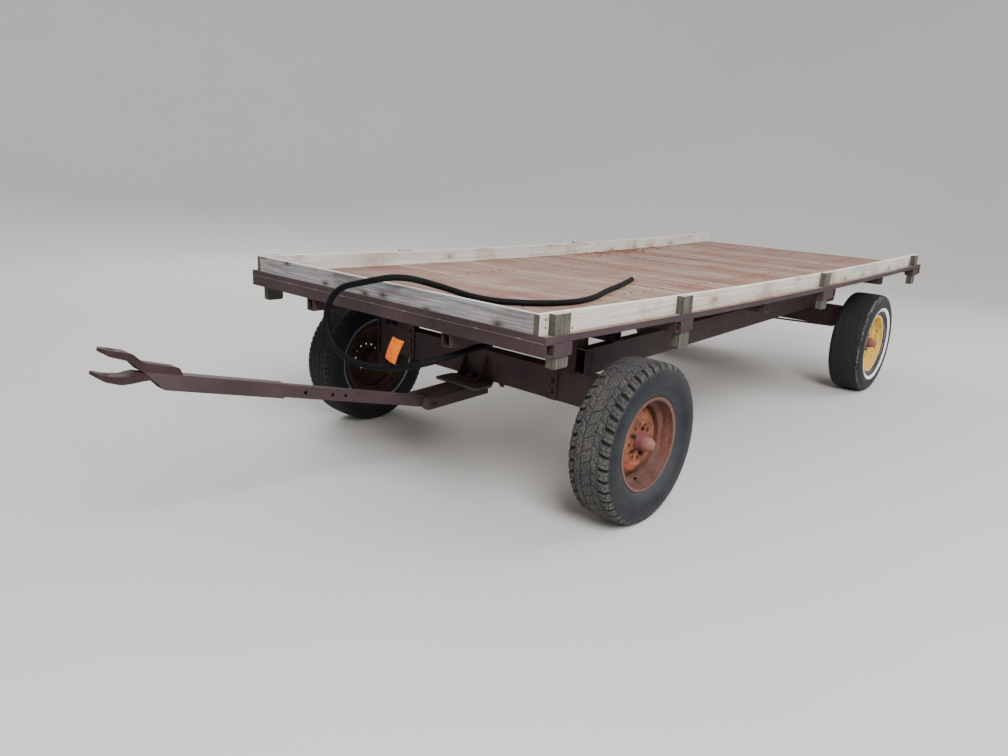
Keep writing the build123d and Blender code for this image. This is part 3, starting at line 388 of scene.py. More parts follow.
@dataclass(frozen=True)
class TyreRubber(Finish):
    """Moulded rubber: bluish clean sidewall, tread scuffed and dusty, grooves packed with dirt.

    The mesh's attributes say where a point lies: radius_mm, along_mm round the tread, across_mm from
    its middle with the outboard side positive, and groove, which is 1 at a groove's foot.
    """

    wall: str = "#1a212b"
    scuff: str = "#59564f"
    soil: str = "#15130f"
    bead: str = "#5a6066"
    band: str = "#d9d6cc"
    torn: str = "#77706a"
    scraped: str = "#4a3e38"
    tread_mm: float = 347.0
    bead_mm: tuple[float, float] = (228.0, 268.0)
    band_mm: tuple[float, float] = (0.0, 0.0)
    torn_mm: float = 0.0
    bead_most: float = 0.55
    scuff_most: float = 0.95
    slits: float = 0.0
    # Radians of a ridge's wave in a millimetre: a ridge every 6 mm below this radius
    ridge_wave: float = 1.05
    ridged_mm: tuple[float, float] = (262.0, 268.0)

    def paint(self, tree: Tree, place: Socket) -> Painted:
        """Lay scuffs, dirt, tears, slits and the pale band over the black wall.

        Args:
            tree: The material's node tree.
            place: Object coordinates.

        Returns:
            Its colour, roughness and height.
        """
        radius, along, across, groove = (
            add(tree, "Attribute", out="Fac", attribute_name=name)
            for name in ("radius_mm", "along_mm", "across_mm", "groove"))
        flat = add(tree, "CombineXYZ", (along, across))
        # Grit of 4 mm, coarser than the real one so that it shows
        grit = add(tree, "TexNoise", {
            "Vector": place, "Scale": 1 / (4 * MM), "Detail": 4.0, "Roughness": 0.7,
        })
        cloud = add(tree, "TexNoise", {"Vector": place, "Scale": 9.0, "Detail": 5.0, "Roughness": 0.65})
        tread = add(tree, "MapRange", (radius, self.tread_mm - 6, self.tread_mm + 8))
        wear = add(tree, "MapRange", (cloud, 0.30, 0.62, 0.45, self.scuff_most))
        wear = add(tree, "Math", (wear, tread), operation="MULTIPLY")
        haze = add(tree, "MapRange", (cloud, 0.40, 0.75, 0.0, 0.22))
        wear = add(tree, "Math", (wear, haze), operation="MAXIMUM")
        low = add(tree, "MapRange", (radius, *self.bead_mm, self.bead_most, 0.0))
        tone = add(tree, "MapRange", (grit, 0.3, 0.7, 0.72, 1.2))
        colour = add(tree, "Mix", {FACTOR: wear, A: self.wall, B: self.scuff}, **RGBA)
        colour = add(tree, "Mix", {FACTOR: low, A: colour, B: self.bead}, **RGBA)
        colour = add(tree, "HueSaturation", {"Color": colour, "Value": tone})
        layers = []
        if self.torn_mm:
            # Scrapes run 320 mm round the tread and lie 5 mm apart
            scrape = add(tree, "Mapping", {"Vector": flat, "Scale": (1 / 320, 1 / 5, 1.0)})
            scrape = add(tree, "TexNoise", {
                "Vector": scrape, "Scale": 1.0, "Detail": 4.0, "Roughness": 0.6,
            })
            scrape = add(tree, "MapRange", (scrape, 0.52, 0.70, 0.0, 0.55))
            scrape = add(tree, "Math", (scrape, tread), operation="MULTIPLY")
            layers += [(self.tear(tree, place, across, cloud), self.torn), (scrape, self.scraped)]
        if self.slits:
            slit = add(tree, "Math", (self.crazing(tree, flat), tread), operation="MULTIPLY")
            grit = add(tree, "Math", (grit, slit), operation="SUBTRACT")
            layers.append((slit, self.soil))
        layers.append((groove, self.soil))
        if self.band_mm[1] > self.band_mm[0]:
            layers.append((self.ring(tree, radius, cloud), self.band))
        for mask, tint in layers:
            colour = add(tree, "Mix", {FACTOR: mask, A: colour, B: tint}, **RGBA)
        roughness = add(tree, "MapRange", (wear, 0.0, 1.0, 0.55, 0.95))
        wave = add(tree, "Math", (radius, self.ridge_wave), operation="MULTIPLY")
        wave = add(tree, "Math", (wave,), operation="SINE")
        ridges = add(tree, "MapRange", (radius, *self.ridged_mm, 1.0, 0.0))
        ridges = add(tree, "Math", (ridges, wave), operation="MULTIPLY")
        height = add(tree, "Math", (ridges, grit), operation="ADD")
        return colour, roughness, height

    def tear(self, tree: Tree, place: Socket, across: Socket, cloud: Socket) -> Socket:
        """A ragged line round the shoulder, where distance from a wandering line is small.

        Args:
            tree: The material's node tree.
            place: Object coordinates.
            across: Distance from the tread's middle.
            cloud: The noise that the line wanders by.

        Returns:
            The mask of the torn rubber.
        """
        off = add(tree, "MapRange", (cloud, 0.3, 0.7, self.torn_mm - 9.0, self.torn_mm + 9.0))
        off = add(tree, "Math", (across, off), operation="SUBTRACT")
        off = add(tree, "Math", (off,), operation="ABSOLUTE")
        near = add(tree, "MapRange", (off, 1.0, 9.0, 1.0, 0.0))
        crumbs = add(tree, "TexNoise", {"Vector": place, "Scale": 45.0, "Detail": 5.0, "Roughness": 0.7})
        crumbs = add(tree, "MapRange", (crumbs, 0.42, 0.62))
        return add(tree, "Math", (near, crumbs), operation="MULTIPLY")

    def crazing(self, tree: Tree, flat: Socket) -> Socket:
        """Fine slits: the edges between uneven cells, 8.5 mm long and 19 mm across.

        Args:
            tree: The material's node tree.
            flat: Millimetres along and across the tread.

        Returns:
            The mask of the slits.
        """
        wobble = add(tree, "TexNoise", {"Vector": flat, "Scale": 0.09, "Detail": 2.0}, out="Color")
        wobble = add(tree, "VectorMath", (wobble, (9.0, 9.0, 0.0)), operation="MULTIPLY")
        flat = add(tree, "VectorMath", (flat, wobble), operation="ADD")
        flat = add(tree, "Mapping", {"Vector": flat, "Scale": (1 / 8.5, 1 / 19.0, 1.0)})
        edge = add(tree, "TexVoronoi", {"Vector": flat, "Scale": 1.0}, feature="DISTANCE_TO_EDGE",
                   voronoi_dimensions="2D")
        return add(tree, "MapRange", (edge, 0.05, 0.13, self.slits, 0.0))

    def ring(self, tree: Tree, radius: Socket, cloud: Socket) -> Socket:
        """The pale band on the wall, between its two radii and greyed by grime.

        Args:
            tree: The material's node tree.
            radius: Distance from the axle.
            cloud: The noise that the grime follows.

        Returns:
            The mask of the band.
        """
        low, high = self.band_mm
        rise = add(tree, "MapRange", (radius, low, low + 1.2))
        fall = add(tree, "MapRange", (radius, high, high + 1.2, 1.0, 0.0))
        band = add(tree, "Math", (rise, fall), operation="MULTIPLY")
        grime = add(tree, "MapRange", (cloud, 0.4, 0.8, 1.0, 0.55))
        return add(tree, "Math", (band, grime), operation="MULTIPLY")


@dataclass(frozen=True)
class HoseRubber(Finish):
    """Extruded black rubber cover, a little dusty, with a soft shine."""

    cover: str = "#050608"
    dust: str = "#15140f"

    def paint(self, tree: Tree, place: Socket) -> Painted:
        """Dust is low noise over a plain black cover; the bump is its cloth print.

        Args:
            tree: The material's node tree.
            place: Object coordinates.

        Returns:
            Its colour, roughness and height.
        """
        # The cloth's print is 1.5 mm, about twice as coarse as a real one so that it shows
        cloth = add(tree, "TexNoise", {"Vector": place, "Scale": 1 / (1.5 * MM), "Detail": 2.0})
        cloud = add(tree, "TexNoise", {"Vector": place, "Scale": 14.0, "Detail": 4.0})
        dusty = add(tree, "MapRange", (cloud, 0.45, 0.8, 0.0, 0.6))
        colour = add(tree, "Mix", {FACTOR: dusty, A: self.cover, B: self.dust}, **RGBA)
        return colour, add(tree, "MapRange", (cloud, 0.0, 1.0, 0.55, 0.8)), cloth


@dataclass(frozen=True)
class BareSteel(Finish):
    """Turned or rolled steel without paint, dulled by handling and browned by rust."""

    metallic: float = 0.75
    clean: str = "#8b857d"
    rust: str = "#5a3a29"
    rust_share: float = 0.5

    def paint(self, tree: Tree, place: Socket) -> Painted:
        """Noise turns the steel brown and matt where it is above its share.

        Args:
            tree: The material's node tree.
            place: Object coordinates.

        Returns:
            Its colour, roughness and height.
        """
        broad = add(tree, "TexNoise", {"Vector": place, "Scale": 18.0, "Detail": 6.0, "Roughness": 0.7})
        rusted = add(tree, "MapRange", (broad, self.rust_share - 0.12, self.rust_share + 0.12))
        colour = add(tree, "Mix", {FACTOR: rusted, A: self.clean, B: self.rust}, **RGBA)
        return colour, add(tree, "MapRange", (rusted, 0.0, 1.0, 0.4, 0.85)), broad


@dataclass(frozen=True)
class Card(Finish):
    """A thin sheet in one colour, scuffed: coated card stock, or a dry leaf."""

    sheet: str = "#ee7404"
    scuffed: str = "#b9500f"

    def paint(self, tree: Tree, place: Socket) -> Painted:
        """A cloud of scuffs over one colour.

        Args:
            tree: The material's node tree.
            place: Object coordinates.

        Returns:
            Its colour, roughness and height.
        """
        cloud = add(tree, "TexNoise", {"Vector": place, "Scale": 60.0, "Detail": 4.0})
        scuffs = add(tree, "MapRange", (cloud, 0.5, 0.75))
        return add(tree, "Mix", {FACTOR: scuffs, A: self.sheet, B: self.scuffed}, **RGBA), 0.5, cloud


@dataclass(frozen=True)
class StudioFloor(Finish):
    """Matt pale floor with next to no pattern."""

    tone: str = "#cfcdc9"

    def paint(self, tree: Tree, place: Socket) -> Painted:
        """A trace of noise keeps the floor from looking flat.

        Args:
            tree: The material's node tree.
            place: Object coordinates.

        Returns:
            Its colour, roughness and height.
        """
        cloud = add(tree, "TexNoise", {"Vector": place, "Scale": 0.7, "Detail": 2.0})
        value = add(tree, "MapRange", (cloud, 0.0, 1.0, 0.985, 1.015))
        return add(tree, "HueSaturation", {"Color": self.tone, "Value": value}), 0.9, cloud


def grid_faces(rows: int, cols: int, wrap_rows: bool, wrap_cols: bool) -> np.ndarray:
    """Quads between neighbouring points of a grid stored row by row.

    Args:
        rows: Number of rows.
        cols: Number of columns.
        wrap_rows: Whether the last row joins the first.
        wrap_cols: Whether the last column joins the first.

    Returns:
        An array of four point numbers a face.
    """
    i = np.arange(rows if wrap_rows else rows - 1)[:, None]
    j = np.arange(cols if wrap_cols else cols - 1)[None, :]
    right = (j + 1) % cols
    below = (i + 1) % rows
    quads = np.stack(np.broadcast_arrays(i * cols + j, i * cols + right,
                                         below * cols + right, below * cols + j), axis=-1)
    return quads.reshape(-1, 4)


def basis(axis: Point, turn: float = 0.0) -> np.ndarray:
    """Work out three unit rows at right angles, whose third lies on an axis.

    The first is the axis crossed with Z, or with X for an upright axis; the first two are then
    turned about the axis.

    Args:
        axis: The third row's direction.
        turn: The angle in radians.

    Returns:
        A three by three array, right handed.
    """
    w = np.asarray(axis, float) / np.linalg.norm(axis)
    helper = np.array((0.0, 0.0, 1.0)) if abs(w[2]) < 0.9 else np.array((1.0, 0.0, 0.0))
    u = np.cross(helper, w)
    u /= np.linalg.norm(u)
    v = np.cross(w, u)
    return np.stack([u * math.cos(turn) + v * math.sin(turn), v * math.cos(turn) - u * math.sin(turn), w])


def turned(profile: Sequence[tuple[float, float]], sides: int) -> Shape:
    """A body turned about the third axis.

    A point is (r cos t, r sin t, h) for each (h, r) of the profile and each angle t.

    Args:
        profile: Height and radius in millimetres, from the low end to the high end.
        sides: How many steps make the turn; 6 gives a hexagon.

    Returns:
        Points in metres and their faces.
    """
    high, radius = np.array(profile, float).T * MM
    t = np.arange(sides) * (FULL_TURN / sides)
    points = np.stack(np.broadcast_arrays(radius[:, None] * np.cos(t), radius[:, None] * np.sin(t),
                                          high[:, None]), axis=-1)
    return points.reshape(-1, 3), grid_faces(len(high), sides, False, True)


def scatter(unit: Shape, places: np.ndarray, turns: np.ndarray) -> Shape:
    """Copies of one small body, each turned by its three rows and moved to its place.

    Args:
        unit: Points and faces of the body at the origin.
        places: One place a copy.
        turns: One three by three basis a copy.

    Returns:
        Points and faces of all the copies.
    """
    points, faces = unit
    moved = np.einsum("pi,kij->kpj", points, turns) + places[:, None, :]
    numbers = faces[None] + (np.arange(len(places)) * len(points))[:, None, None]
    return moved.reshape(-1, 3), numbers.reshape(-1, faces.shape[1])


def heads(places: Sequence[Point], axis: Point, unit: Shape) -> Shape:
    """Stand a copy of a small body at each place, along an axis, each turned a little further."""
    turns = np.stack([basis(axis, 0.7 * k) for k in range(len(places))])
    return scatter(unit, np.array(places, float), turns)


def joined(bodies: Sequence[Shape]) -> Shape:
    """Put several sets of points and faces together.

    Args:
        bodies: The sets.

    Returns:
        One set, with each face's numbers moved on by the points before it.
    """
    starts = np.cumsum([0] + [len(points) for points, _ in bodies[:-1]])
    return (np.concatenate([points for points, _ in bodies]),
            np.concatenate([faces + start for (_, faces), start in zip(bodies, starts)]))


def smooth_line(points: Sequence[Point], steps: int) -> np.ndarray:
    """A curve through points: the cubic between two takes its slopes from their neighbours.

    Args:
        points: The points to pass through, in two or three dimensions.
        steps: Points of the curve between two of them.

    Returns:
        The curve's points.
    """
    p = np.asarray(points, float)
    padded = np.concatenate([[2 * p[0] - p[1]], p, [2 * p[-1] - p[-2]]])
    a, b, c, d = (padded[k:len(p) - 1 + k][:, None] for k in range(4))
    t = (np.arange(steps) / steps)[None, :, None]
    square, cube = 2 * a - 5 * b + 4 * c - d, 3 * b - a - 3 * c + d
    curve = 0.5 * (2 * b + (c - a) * t + square * t**2 + cube * t**3)
    return np.concatenate([curve.reshape(-1, p.shape[1]), p[-1:]])


def tube(path: np.ndarray, radius: np.ndarray, sides: int) -> Shape:
    """A closed round bar along a path: at each point a ring of the local radius, normal to the path.

    Args:
        path: Points in metres.
        radius: One radius a point, in metres.
        sides: Steps round the bar.

    Returns:
        Points and faces, with each end closed at the path's own end point.
    """
    ahead = np.gradient(path, axis=0)
    ahead /= np.linalg.norm(ahead, axis=1, keepdims=True)
    helper = np.where(np.abs(ahead[:, 2:]) < 0.9, (0.0, 0.0, 1.0), (1.0, 0.0, 0.0))
    side = np.cross(helper, ahead)
    side /= np.linalg.norm(side, axis=1, keepdims=True)
    up = np.cross(ahead, side)
    t = np.arange(sides) * (FULL_TURN / sides)
    ring = side[:, None] * np.cos(t)[None, :, None] + up[:, None] * np.sin(t)[None, :, None]
    body = path[:, None] + ring * radius[:, None, None]
    start, end = (np.repeat(path[k][None, None], sides, axis=1) for k in (0, -1))
    points = np.concatenate([start, body, end])
    return points.reshape(-1, 3), grid_faces(len(points), sides, False, True)


def seam(start: Point, end: Point, radius: float) -> Shape:
    """A weld bead: a thin bar whose radius swells with each ripple, one sine over another.

    Args:
        start: One end in metres.
        end: The other.
        radius: The bead's mean radius in metres.

    Returns:
        Points and faces.
    """
    p, q = np.array(start, float), np.array(end, float)
    length = np.linalg.norm(q - p)
    # A ring every 3.5 mm of its length
    count = max(int(length / 0.0035), 6)
    t = np.linspace(0, 1, count)
    swell = 1 + 0.16 * np.sin(t * length / 0.0021) + 0.10 * np.sin(t * length / 0.013)
    ends = np.clip(np.minimum(t, 1 - t) * count / 2.5, 0.25, 1)
    return tube(p + (q - p) * t[:, None], radius * swell * ends, 8)


def make(name: str, shape: Shape, finish: Material, body: str, smooth_deg: float = 35.0,
         marks: dict[str, np.ndarray] | None = None) -> Piece:
    """Put a shape into the scene as one piece, with its poles closed and its faces outwards.

    Args:
        name: The piece's name.
        shape: Points and faces.
        finish: Its material.
        body: The moving body that it rides on.
        smooth_deg: Edges sharper than this stay sharp.
        marks: Names and values of the float attributes of its points.

    Returns:
        The new piece.
    """
    points, faces = shape
    mesh = bpy.data.meshes.new(name)
    mesh.from_pydata(points.tolist(), [], faces.tolist())
    for mark, values in (marks or {}).items():
        mesh.attributes.new(mark, "FLOAT", "POINT").data.foreach_set("value", values.astype(np.float32))
    work = bmesh.new()
    work.from_mesh(mesh)
    bmesh.ops.remove_doubles(work, verts=work.verts, dist=2e-6)
    bmesh.ops.recalc_face_normals(work, faces=work.faces)
    work.to_mesh(mesh)
    work.free()
    mesh.shade_smooth()
    mesh.set_sharp_from_angle(angle=math.radians(smooth_deg))
    mesh.materials.append(finish)
    piece = bpy.data.objects.new(name, mesh)
    bpy.context.scene.collection.objects.link(piece)
    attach(piece, body)
    LOG.info("%s: %d points on %s", name, len(mesh.vertices), body)
    return piece


def corners(node: str) -> tuple[Vector, Vector]:
    """The lowest and the highest corner of a CAD node."""
    low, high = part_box(node)
    return Vector(low), Vector(high)


def solids_of(node: str) -> list[tuple[np.ndarray, np.ndarray]]:
    """Boxes of a node's solids, told apart by the empty stretches of 30 mm or more between them.

    Args:
        node: A CAD node whose solids follow one another along X.

    Returns:
        The lowest and highest corner of each solid, from the rear forward.
    """
    mesh = frame["nodes"][node].data
    flat = np.empty(len(mesh.vertices) * 3)
    mesh.vertices.foreach_get("co", flat)
    points = flat.reshape(-1, 3)
    points = points[np.argsort(points[:, 0])]
    breaks = np.flatnonzero(np.diff(points[:, 0]) > 0.03) + 1
    return [(part.min(axis=0), part.max(axis=0)) for part in np.split(points, breaks)]


# The deck's ends, and how deep it hangs between them
DECK_REAR_X = corners("edge_strips")[0].x
DECK_FRONT_X = corners("edge_strips")[1].x
DECK_SAG = 26 * MM


def sag_at(x: np.ndarray | float) -> np.ndarray | float:
    """Work out how far the deck hangs: an arc that is zero at both ends and deepest midway.

    Args:
        x: Where along the deck, in metres.

    Returns:
        The depth in metres.
    """
    half = (DECK_FRONT_X - DECK_REAR_X) / 2
    radius = (half**2 + DECK_SAG**2) / (2 * DECK_SAG)
    off = x - (DECK_FRONT_X - half)
    return np.sqrt(radius**2 - off**2) - (radius - DECK_SAG)


class Tread(Enum):
    """How a tyre's tread is cut, and how worn it is."""

    BLOCKS = "traction blocks"
    RIBS = "ribs"
    BALD = "worn smooth"


# Points of a tyre's half section that lie on its tread, closer together than on its wall
TREAD_POINTS = 36


def cut_at(distance: np.ndarray, width: float) -> np.ndarray:
    """A groove's depth: 1 within half its width of its line, falling to 0 over 2 mm."""
    return np.clip((width / 2 + 1.2 - np.abs(distance)) / 2.0, 0, 1)


def from_line(value: np.ndarray, pitch: float) -> np.ndarray:
    """Distance from the nearest of many lines a pitch apart, negative before it."""
    return (value / pitch + 0.5) % 1.0 * pitch - pitch / 2


@dataclass
class Tyre:
    """One tyre: its section is carried round the axle and its tread is cut into it."""

    place: str
    tread: Tread
    finish: Finish
    steps: int = 480
    depth_mm: float = 9.0
    half_mm: float = 98.0
    crown_mm: float = 373.4
    # Grooves start at this radius and reach their full depth fade_mm above it
    tread_mm: float = 343.0
    fade_mm: float = 22.0
    blocks: int = 42
    rib_waves: int = 70
    # Section from the middle of the tread to the bead, before it is widened: (across, radius)
    section_mm: tuple[tuple[float, float], ...] = (
        (0.0, 373.4), (15.0, 373.3), (30.0, 373.0), (45.0, 372.4), (60.0, 371.4), (72.0, 368.8),
        (81.0, 362.5), (87.0, 353.0), (94.5, 334.0), (97.8, 312.0), (97.6, 290.0), (93.5, 266.0),
        (85.0, 245.0), (74.0, 227.0), (65.5, 220.5), (63.0, 215.0), (61.0, 208.0), (52.0, 204.5),
    )
    inside_mm: tuple[tuple[float, float], ...] = (
        (60.0, 215.0), (70.0, 262.0), (70.0, 310.0), (58.0, 344.0),
    )

    def grooves(self, along: np.ndarray, across: np.ndarray) -> np.ndarray:
        """How deep the tread is cut at each point, from 0 to 1; sizes are in millimetres.

        Blocks: two zigzag grooves on each side of the middle, cross cuts between them and deep
        notches in the shoulder, each pushed along by a sine of its number so that no two are alike.
        Ribs: five wavy grooves and nicks at the edge. Bald: what is left of two grooves, shallow
        waves and a ragged tear by the shoulder.

        Args:
            along: Distance round the tread.
            across: Distance from its middle line.

        Returns:
            The share of the full depth.
        """
        round_mm = FULL_TURN * self.crown_mm
        side = np.abs(across)
        if self.tread is Tread.BLOCKS:
            pitch = round_mm / self.blocks
            uneven = np.sin(np.floor(along / pitch) * 12.9898 + np.sign(across) * 4.1) * 4.0
            wave = np.abs(from_line(along + uneven, pitch)) * 2 / pitch
            lines = np.maximum(cut_at(side - 22 - 7 * wave, 4.6), cut_at(side - 54 - 9 * (1 - wave), 5.0))
            notch = cut_at(from_line(along + 0.30 * side + uneven, pitch), 15.0) * (side > 62)
            cross = cut_at(from_line(along + pitch / 2 + 0.55 * across + uneven, pitch), 5.0)
            middle = cut_at(from_line(along + pitch / 4 - 0.5 * across, pitch), 4.5) * (side < 26)
            slit = cut_at(from_line(along + 0.30 * side + pitch / 2, pitch), 2.6) * (side > 66)
            every = np.maximum.reduce([
                lines * 0.55, notch, cross * (side > 26) * (side < 60) * 0.5, middle * 0.45, slit * 0.45,
            ])
        elif self.tread is Tread.RIBS:
            pitch = round_mm / self.rib_waves
            wave = (np.abs(from_line(along, pitch)) * 4 / pitch - 1) * 2.2
            lines = np.maximum.reduce([cut_at(across - k * 25 - wave, 6.0) for k in (-2, -1, 0, 1, 2)])
            nick = cut_at(from_line(along, pitch), 5.0) * (side > 76)
            every = np.maximum(lines, nick) * 0.75
        else:
            lines = np.maximum.reduce([cut_at(side - k, 3.0) for k in (24.0, 50.0)])
            tear = cut_at(side - 96 - 3.5 * np.sin(along / 37.0) - 2.5 * np.sin(along / 11.0), 3.2)
            tear = tear * (np.sin(along / 71.0) > -0.55)
            every = np.maximum(lines * 0.16 + 0.06 * np.sin(along / 61.0) * (side < 80), tear * 0.3)
        return np.clip(every, 0, 1)

    def shape(self) -> tuple[Shape, dict[str, np.ndarray]]:
        """The closed skin: outside from bead to bead, then back along the inside.

        A point is (r cos t, a, r sin t) from the tyre's centre, for each (a, r) of the section,
        where r is lowered by the groove's depth and a is drawn in a little at the shoulder.

        Returns:
            Points and faces, and the attributes that the finish reads.
        """
        low, high = corners(f"tyre_{self.place}")
        centre = (low + high) / 2
        wide = (high.y - low.y) / 2 / MM - self.half_mm
        half = smooth_line(self.section_mm, 5)
        half = np.concatenate([half[:TREAD_POINTS], half[TREAD_POINTS::2]])
        half[:, 0] += wide * np.minimum(half[:, 0] / 72, 1)
        outer = np.concatenate([half[:0:-1] * (-1, 1), half])
        inner = np.array(self.inside_mm) + (wide, 0)
        section = np.concatenate([outer, inner, inner[::-1] * (-1, 1)])
        across, radius = section[:, 0], section[:, 1]
        turn = np.arange(self.steps) * (FULL_TURN / self.steps)
        along = turn * self.crown_mm
        above = radius - self.tread_mm
        on_tread = np.clip(above / 6, 0, 1) * (np.arange(len(section)) < len(outer))
        cut = self.grooves(along[:, None], across[None, :]) * on_tread[None, :]
        deep = radius[None, :] - self.depth_mm * cut * np.clip(above / self.fade_mm, 0, 1)
        drawn_in = across[None, :] * (1 - 0.05 * cut * (np.abs(across) > 80 + wide))
        points = np.stack([
            centre.x + deep * MM * np.cos(turn)[:, None],
            centre.y + drawn_in * MM,
            centre.z + deep * MM * np.sin(turn)[:, None],
        ], axis=-1)
        marks = {
            "radius_mm": radius, "along_mm": along[:, None], "across_mm": across * np.sign(centre.y),
            "groove": cut,
        }
        marks = {name: np.broadcast_to(value, cut.shape).reshape(-1) for name, value in marks.items()}
        return (points.reshape(-1, 3), grid_faces(self.steps, len(section), True, True)), marks

    def dress(self) -> None:
        """Make the tyre and let it stand for the plain one."""
        shape, marks = self.shape()
        piece = make(f"tyre_skin_{self.place}", shape, self.finish.build(), f"wheel_{self.place}",
                     marks=marks)
        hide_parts(f"tyre_{self.place}")


@dataclass
class WheelFittings:
    """Lug nuts, the collars round the disc's holes and the valve stem of one wheel."""

    place: str
    side: int
    steel: Material
    rubber: Material
    # The disc's outer face, from the wheel's middle
    face_mm: float
    nuts: int = 5
    nut_circle_mm: float = 60.0
    holes: int = 12
    hole_circle_mm: float = 78.0
    stem_circle_mm: float = 185.0
    stem_behind_mm: float = 28.0
    nut_mm: tuple[tuple[float, float], ...] = (
        (-4, 0), (-4, 10.5), (6, 10.5), (8.5, 8.8), (8.5, 5.6), (13, 5.2), (14, 4.4), (14, 0),
    )
    collar_mm: tuple[tuple[float, float], ...] = (
        (-0.5, 6.3), (-0.5, 9.8), (0.5, 9.6), (1.4, 8.4), (1.4, 6.3), (-0.5, 6.3),
    )
    stem_mm: tuple[tuple[float, float], ...] = (
        (-6, 0), (-6, 7), (2, 7), (5, 5), (26, 3.6), (27, 4.2), (37, 4.2), (38, 3.4), (38, 0),
    )

    def circle(self, turn: np.ndarray, circle_mm: float) -> np.ndarray:
        """Places on a circle on the disc's face, from the wheel's middle in millimetres."""
        return np.stack([np.cos(turn) * circle_mm, np.full(len(turn), self.side * self.face_mm),
                         np.sin(turn) * circle_mm], axis=1)

    def dress(self) -> None:
        """Place the nuts and the collars on their circles and the stem in the rim's slope."""
        low, high = corners(f"wheel_{self.place}")
        centre = np.array((low + high) / 2)
        body, outward = f"wheel_{self.place}", (0, self.side, 0)
        ring = self.circle((np.arange(self.nuts) + 0.5) * (FULL_TURN / self.nuts), self.nut_circle_mm)
        turns = np.stack([basis(outward, 0.3 * k) for k in range(self.nuts)])
        make(f"lug_nuts_{self.place}", scatter(turned(self.nut_mm, 6), centre + ring * MM, turns),
             self.steel, body, smooth_deg=20)
        ring = self.circle(np.arange(self.holes) * (FULL_TURN / self.holes), self.hole_circle_mm)
        make(f"hole_collars_{self.place}", heads(centre + ring * MM, outward, turned(self.collar_mm, 14)),
             self.steel, body)
        foot_mm = np.array((0.0, self.side * (self.face_mm - self.stem_behind_mm), -self.stem_circle_mm))
        stem = heads([centre + foot_mm * MM], (0, self.side, 0.25), turned(self.stem_mm, 16))
        make(f"valve_stem_{self.place}", stem, self.rubber, body)


@dataclass
class Studio:
    """Pale floor, soft lamps and the camera that matches the photograph's view."""

    camera_at: tuple[float, float, float] = (3.94555, 2.6529, 1.5176)
    yaw_deg: float = 221.40
    pitch_deg: float = 15.30
    roll_deg: float = 3.048
    lens_mm: float = 27.2
    sensor_mm: float = 36.0
    # The floor is flat out to flat_m, then sweeps up by a quarter circle into a round wall
    flat_m: float = 9.0
    sweep_m: float = 6.0
    wall_m: float = 12.0
    floor_sides: int = 128
    sky: str = "#e9edf2"
    sky_strength: float = 0.9
    lamps_aim: tuple[float, float, float] = (0.4, 0, 0.7)
    # Name, place, side in metres and watts
    lamps: tuple[tuple[str, Point, float, float], ...] = (
        ("key_lamp", (5.0, 6.0, 6.5), 4.0, 1100.0),
        ("fill_lamp", (-6.0, 5.0, 5.0), 6.0, 380.0),
        ("back_lamp", (-2.0, -8.0, 6.0), 6.0, 420.0),
    )

    def camera(self) -> None:
        """Aim the camera: yaw about Z, pitch down, then roll about the line of sight."""
        yaw, pitch, roll = (math.radians(v) for v in (self.yaw_deg, self.pitch_deg, self.roll_deg))
        level = math.cos(pitch)
        ahead = Vector((math.cos(yaw) * level, math.sin(yaw) * level, -math.sin(pitch)))
        right = ahead.cross(Vector((0, 0, 1))).normalized()
        down = ahead.cross(right)
        rolled = right * math.cos(roll) - down * math.sin(roll)
        up = -(down * math.cos(roll) + right * math.sin(roll))
        data = bpy.data.cameras.new("photo_camera")
        data.lens = self.lens_mm
        data.sensor_width = self.sensor_mm
        camera = bpy.data.objects.new("photo_camera", data)
        camera.matrix_world = Matrix.Translation(self.camera_at) @ Matrix(
            (rolled, up, -ahead)).transposed().to_4x4()
        bpy.context.scene.collection.objects.link(camera)
        bpy.context.scene.camera = camera

    def lamp(self, name: str, at: Point, size: float, watts: float) -> None:
        """Hang one square area lamp, aimed at the middle of the deck.

        Args:
            name: The lamp's name.
            at: Its place.
            size: Its side in metres.
            watts: Its power.
        """
        data = bpy.data.lights.new(name, "AREA")
        data.size = size
        data.energy = watts
        lamp = bpy.data.objects.new(name, data)
        aim = Vector(self.lamps_aim) - Vector(at)
        lamp.matrix_world = Matrix.Translation(at) @ aim.to_track_quat("-Z", "Y").to_matrix().to_4x4()
        bpy.context.scene.collection.objects.link(lamp)

    def floor(self) -> None:
        """Turn the floor's section about Z: its flat, its sweep and its wall."""
        flat, rise = self.flat_m, self.sweep_m
        turn = np.linspace(0, math.pi / 2, 24)
        sweep = np.stack([rise * (1 - np.cos(turn)), flat + rise * np.sin(turn)], axis=1)
        section = [[(0, 0.01), (0, flat / 2)], sweep, [(self.wall_m, flat + rise)]]
        points, faces = turned(np.concatenate(section) / MM, self.floor_sides)
        mesh = bpy.data.meshes.new("studio_floor")
        mesh.from_pydata(points.tolist(), [], [*faces.tolist(), list(range(self.floor_sides))])
        mesh.shade_smooth()
        mesh.materials.append(StudioFloor("matt_studio_floor").build())
        floor = bpy.data.objects.new("studio_floor", mesh)
        bpy.context.scene.collection.objects.link(floor)

    def dress(self) -> None:
        """Build the floor, the sky light, the lamps and the camera."""
        self.floor()
        world = bpy.data.worlds.new("pale_studio")
        world.use_nodes = True
        background = world.node_tree.nodes["Background"].inputs
        background["Color"].default_value = linear(self.sky)
        background["Strength"].default_value = self.sky_strength
        bpy.context.scene.world = world
        for lamp in self.lamps:
            self.lamp(*lamp)
        self.camera()


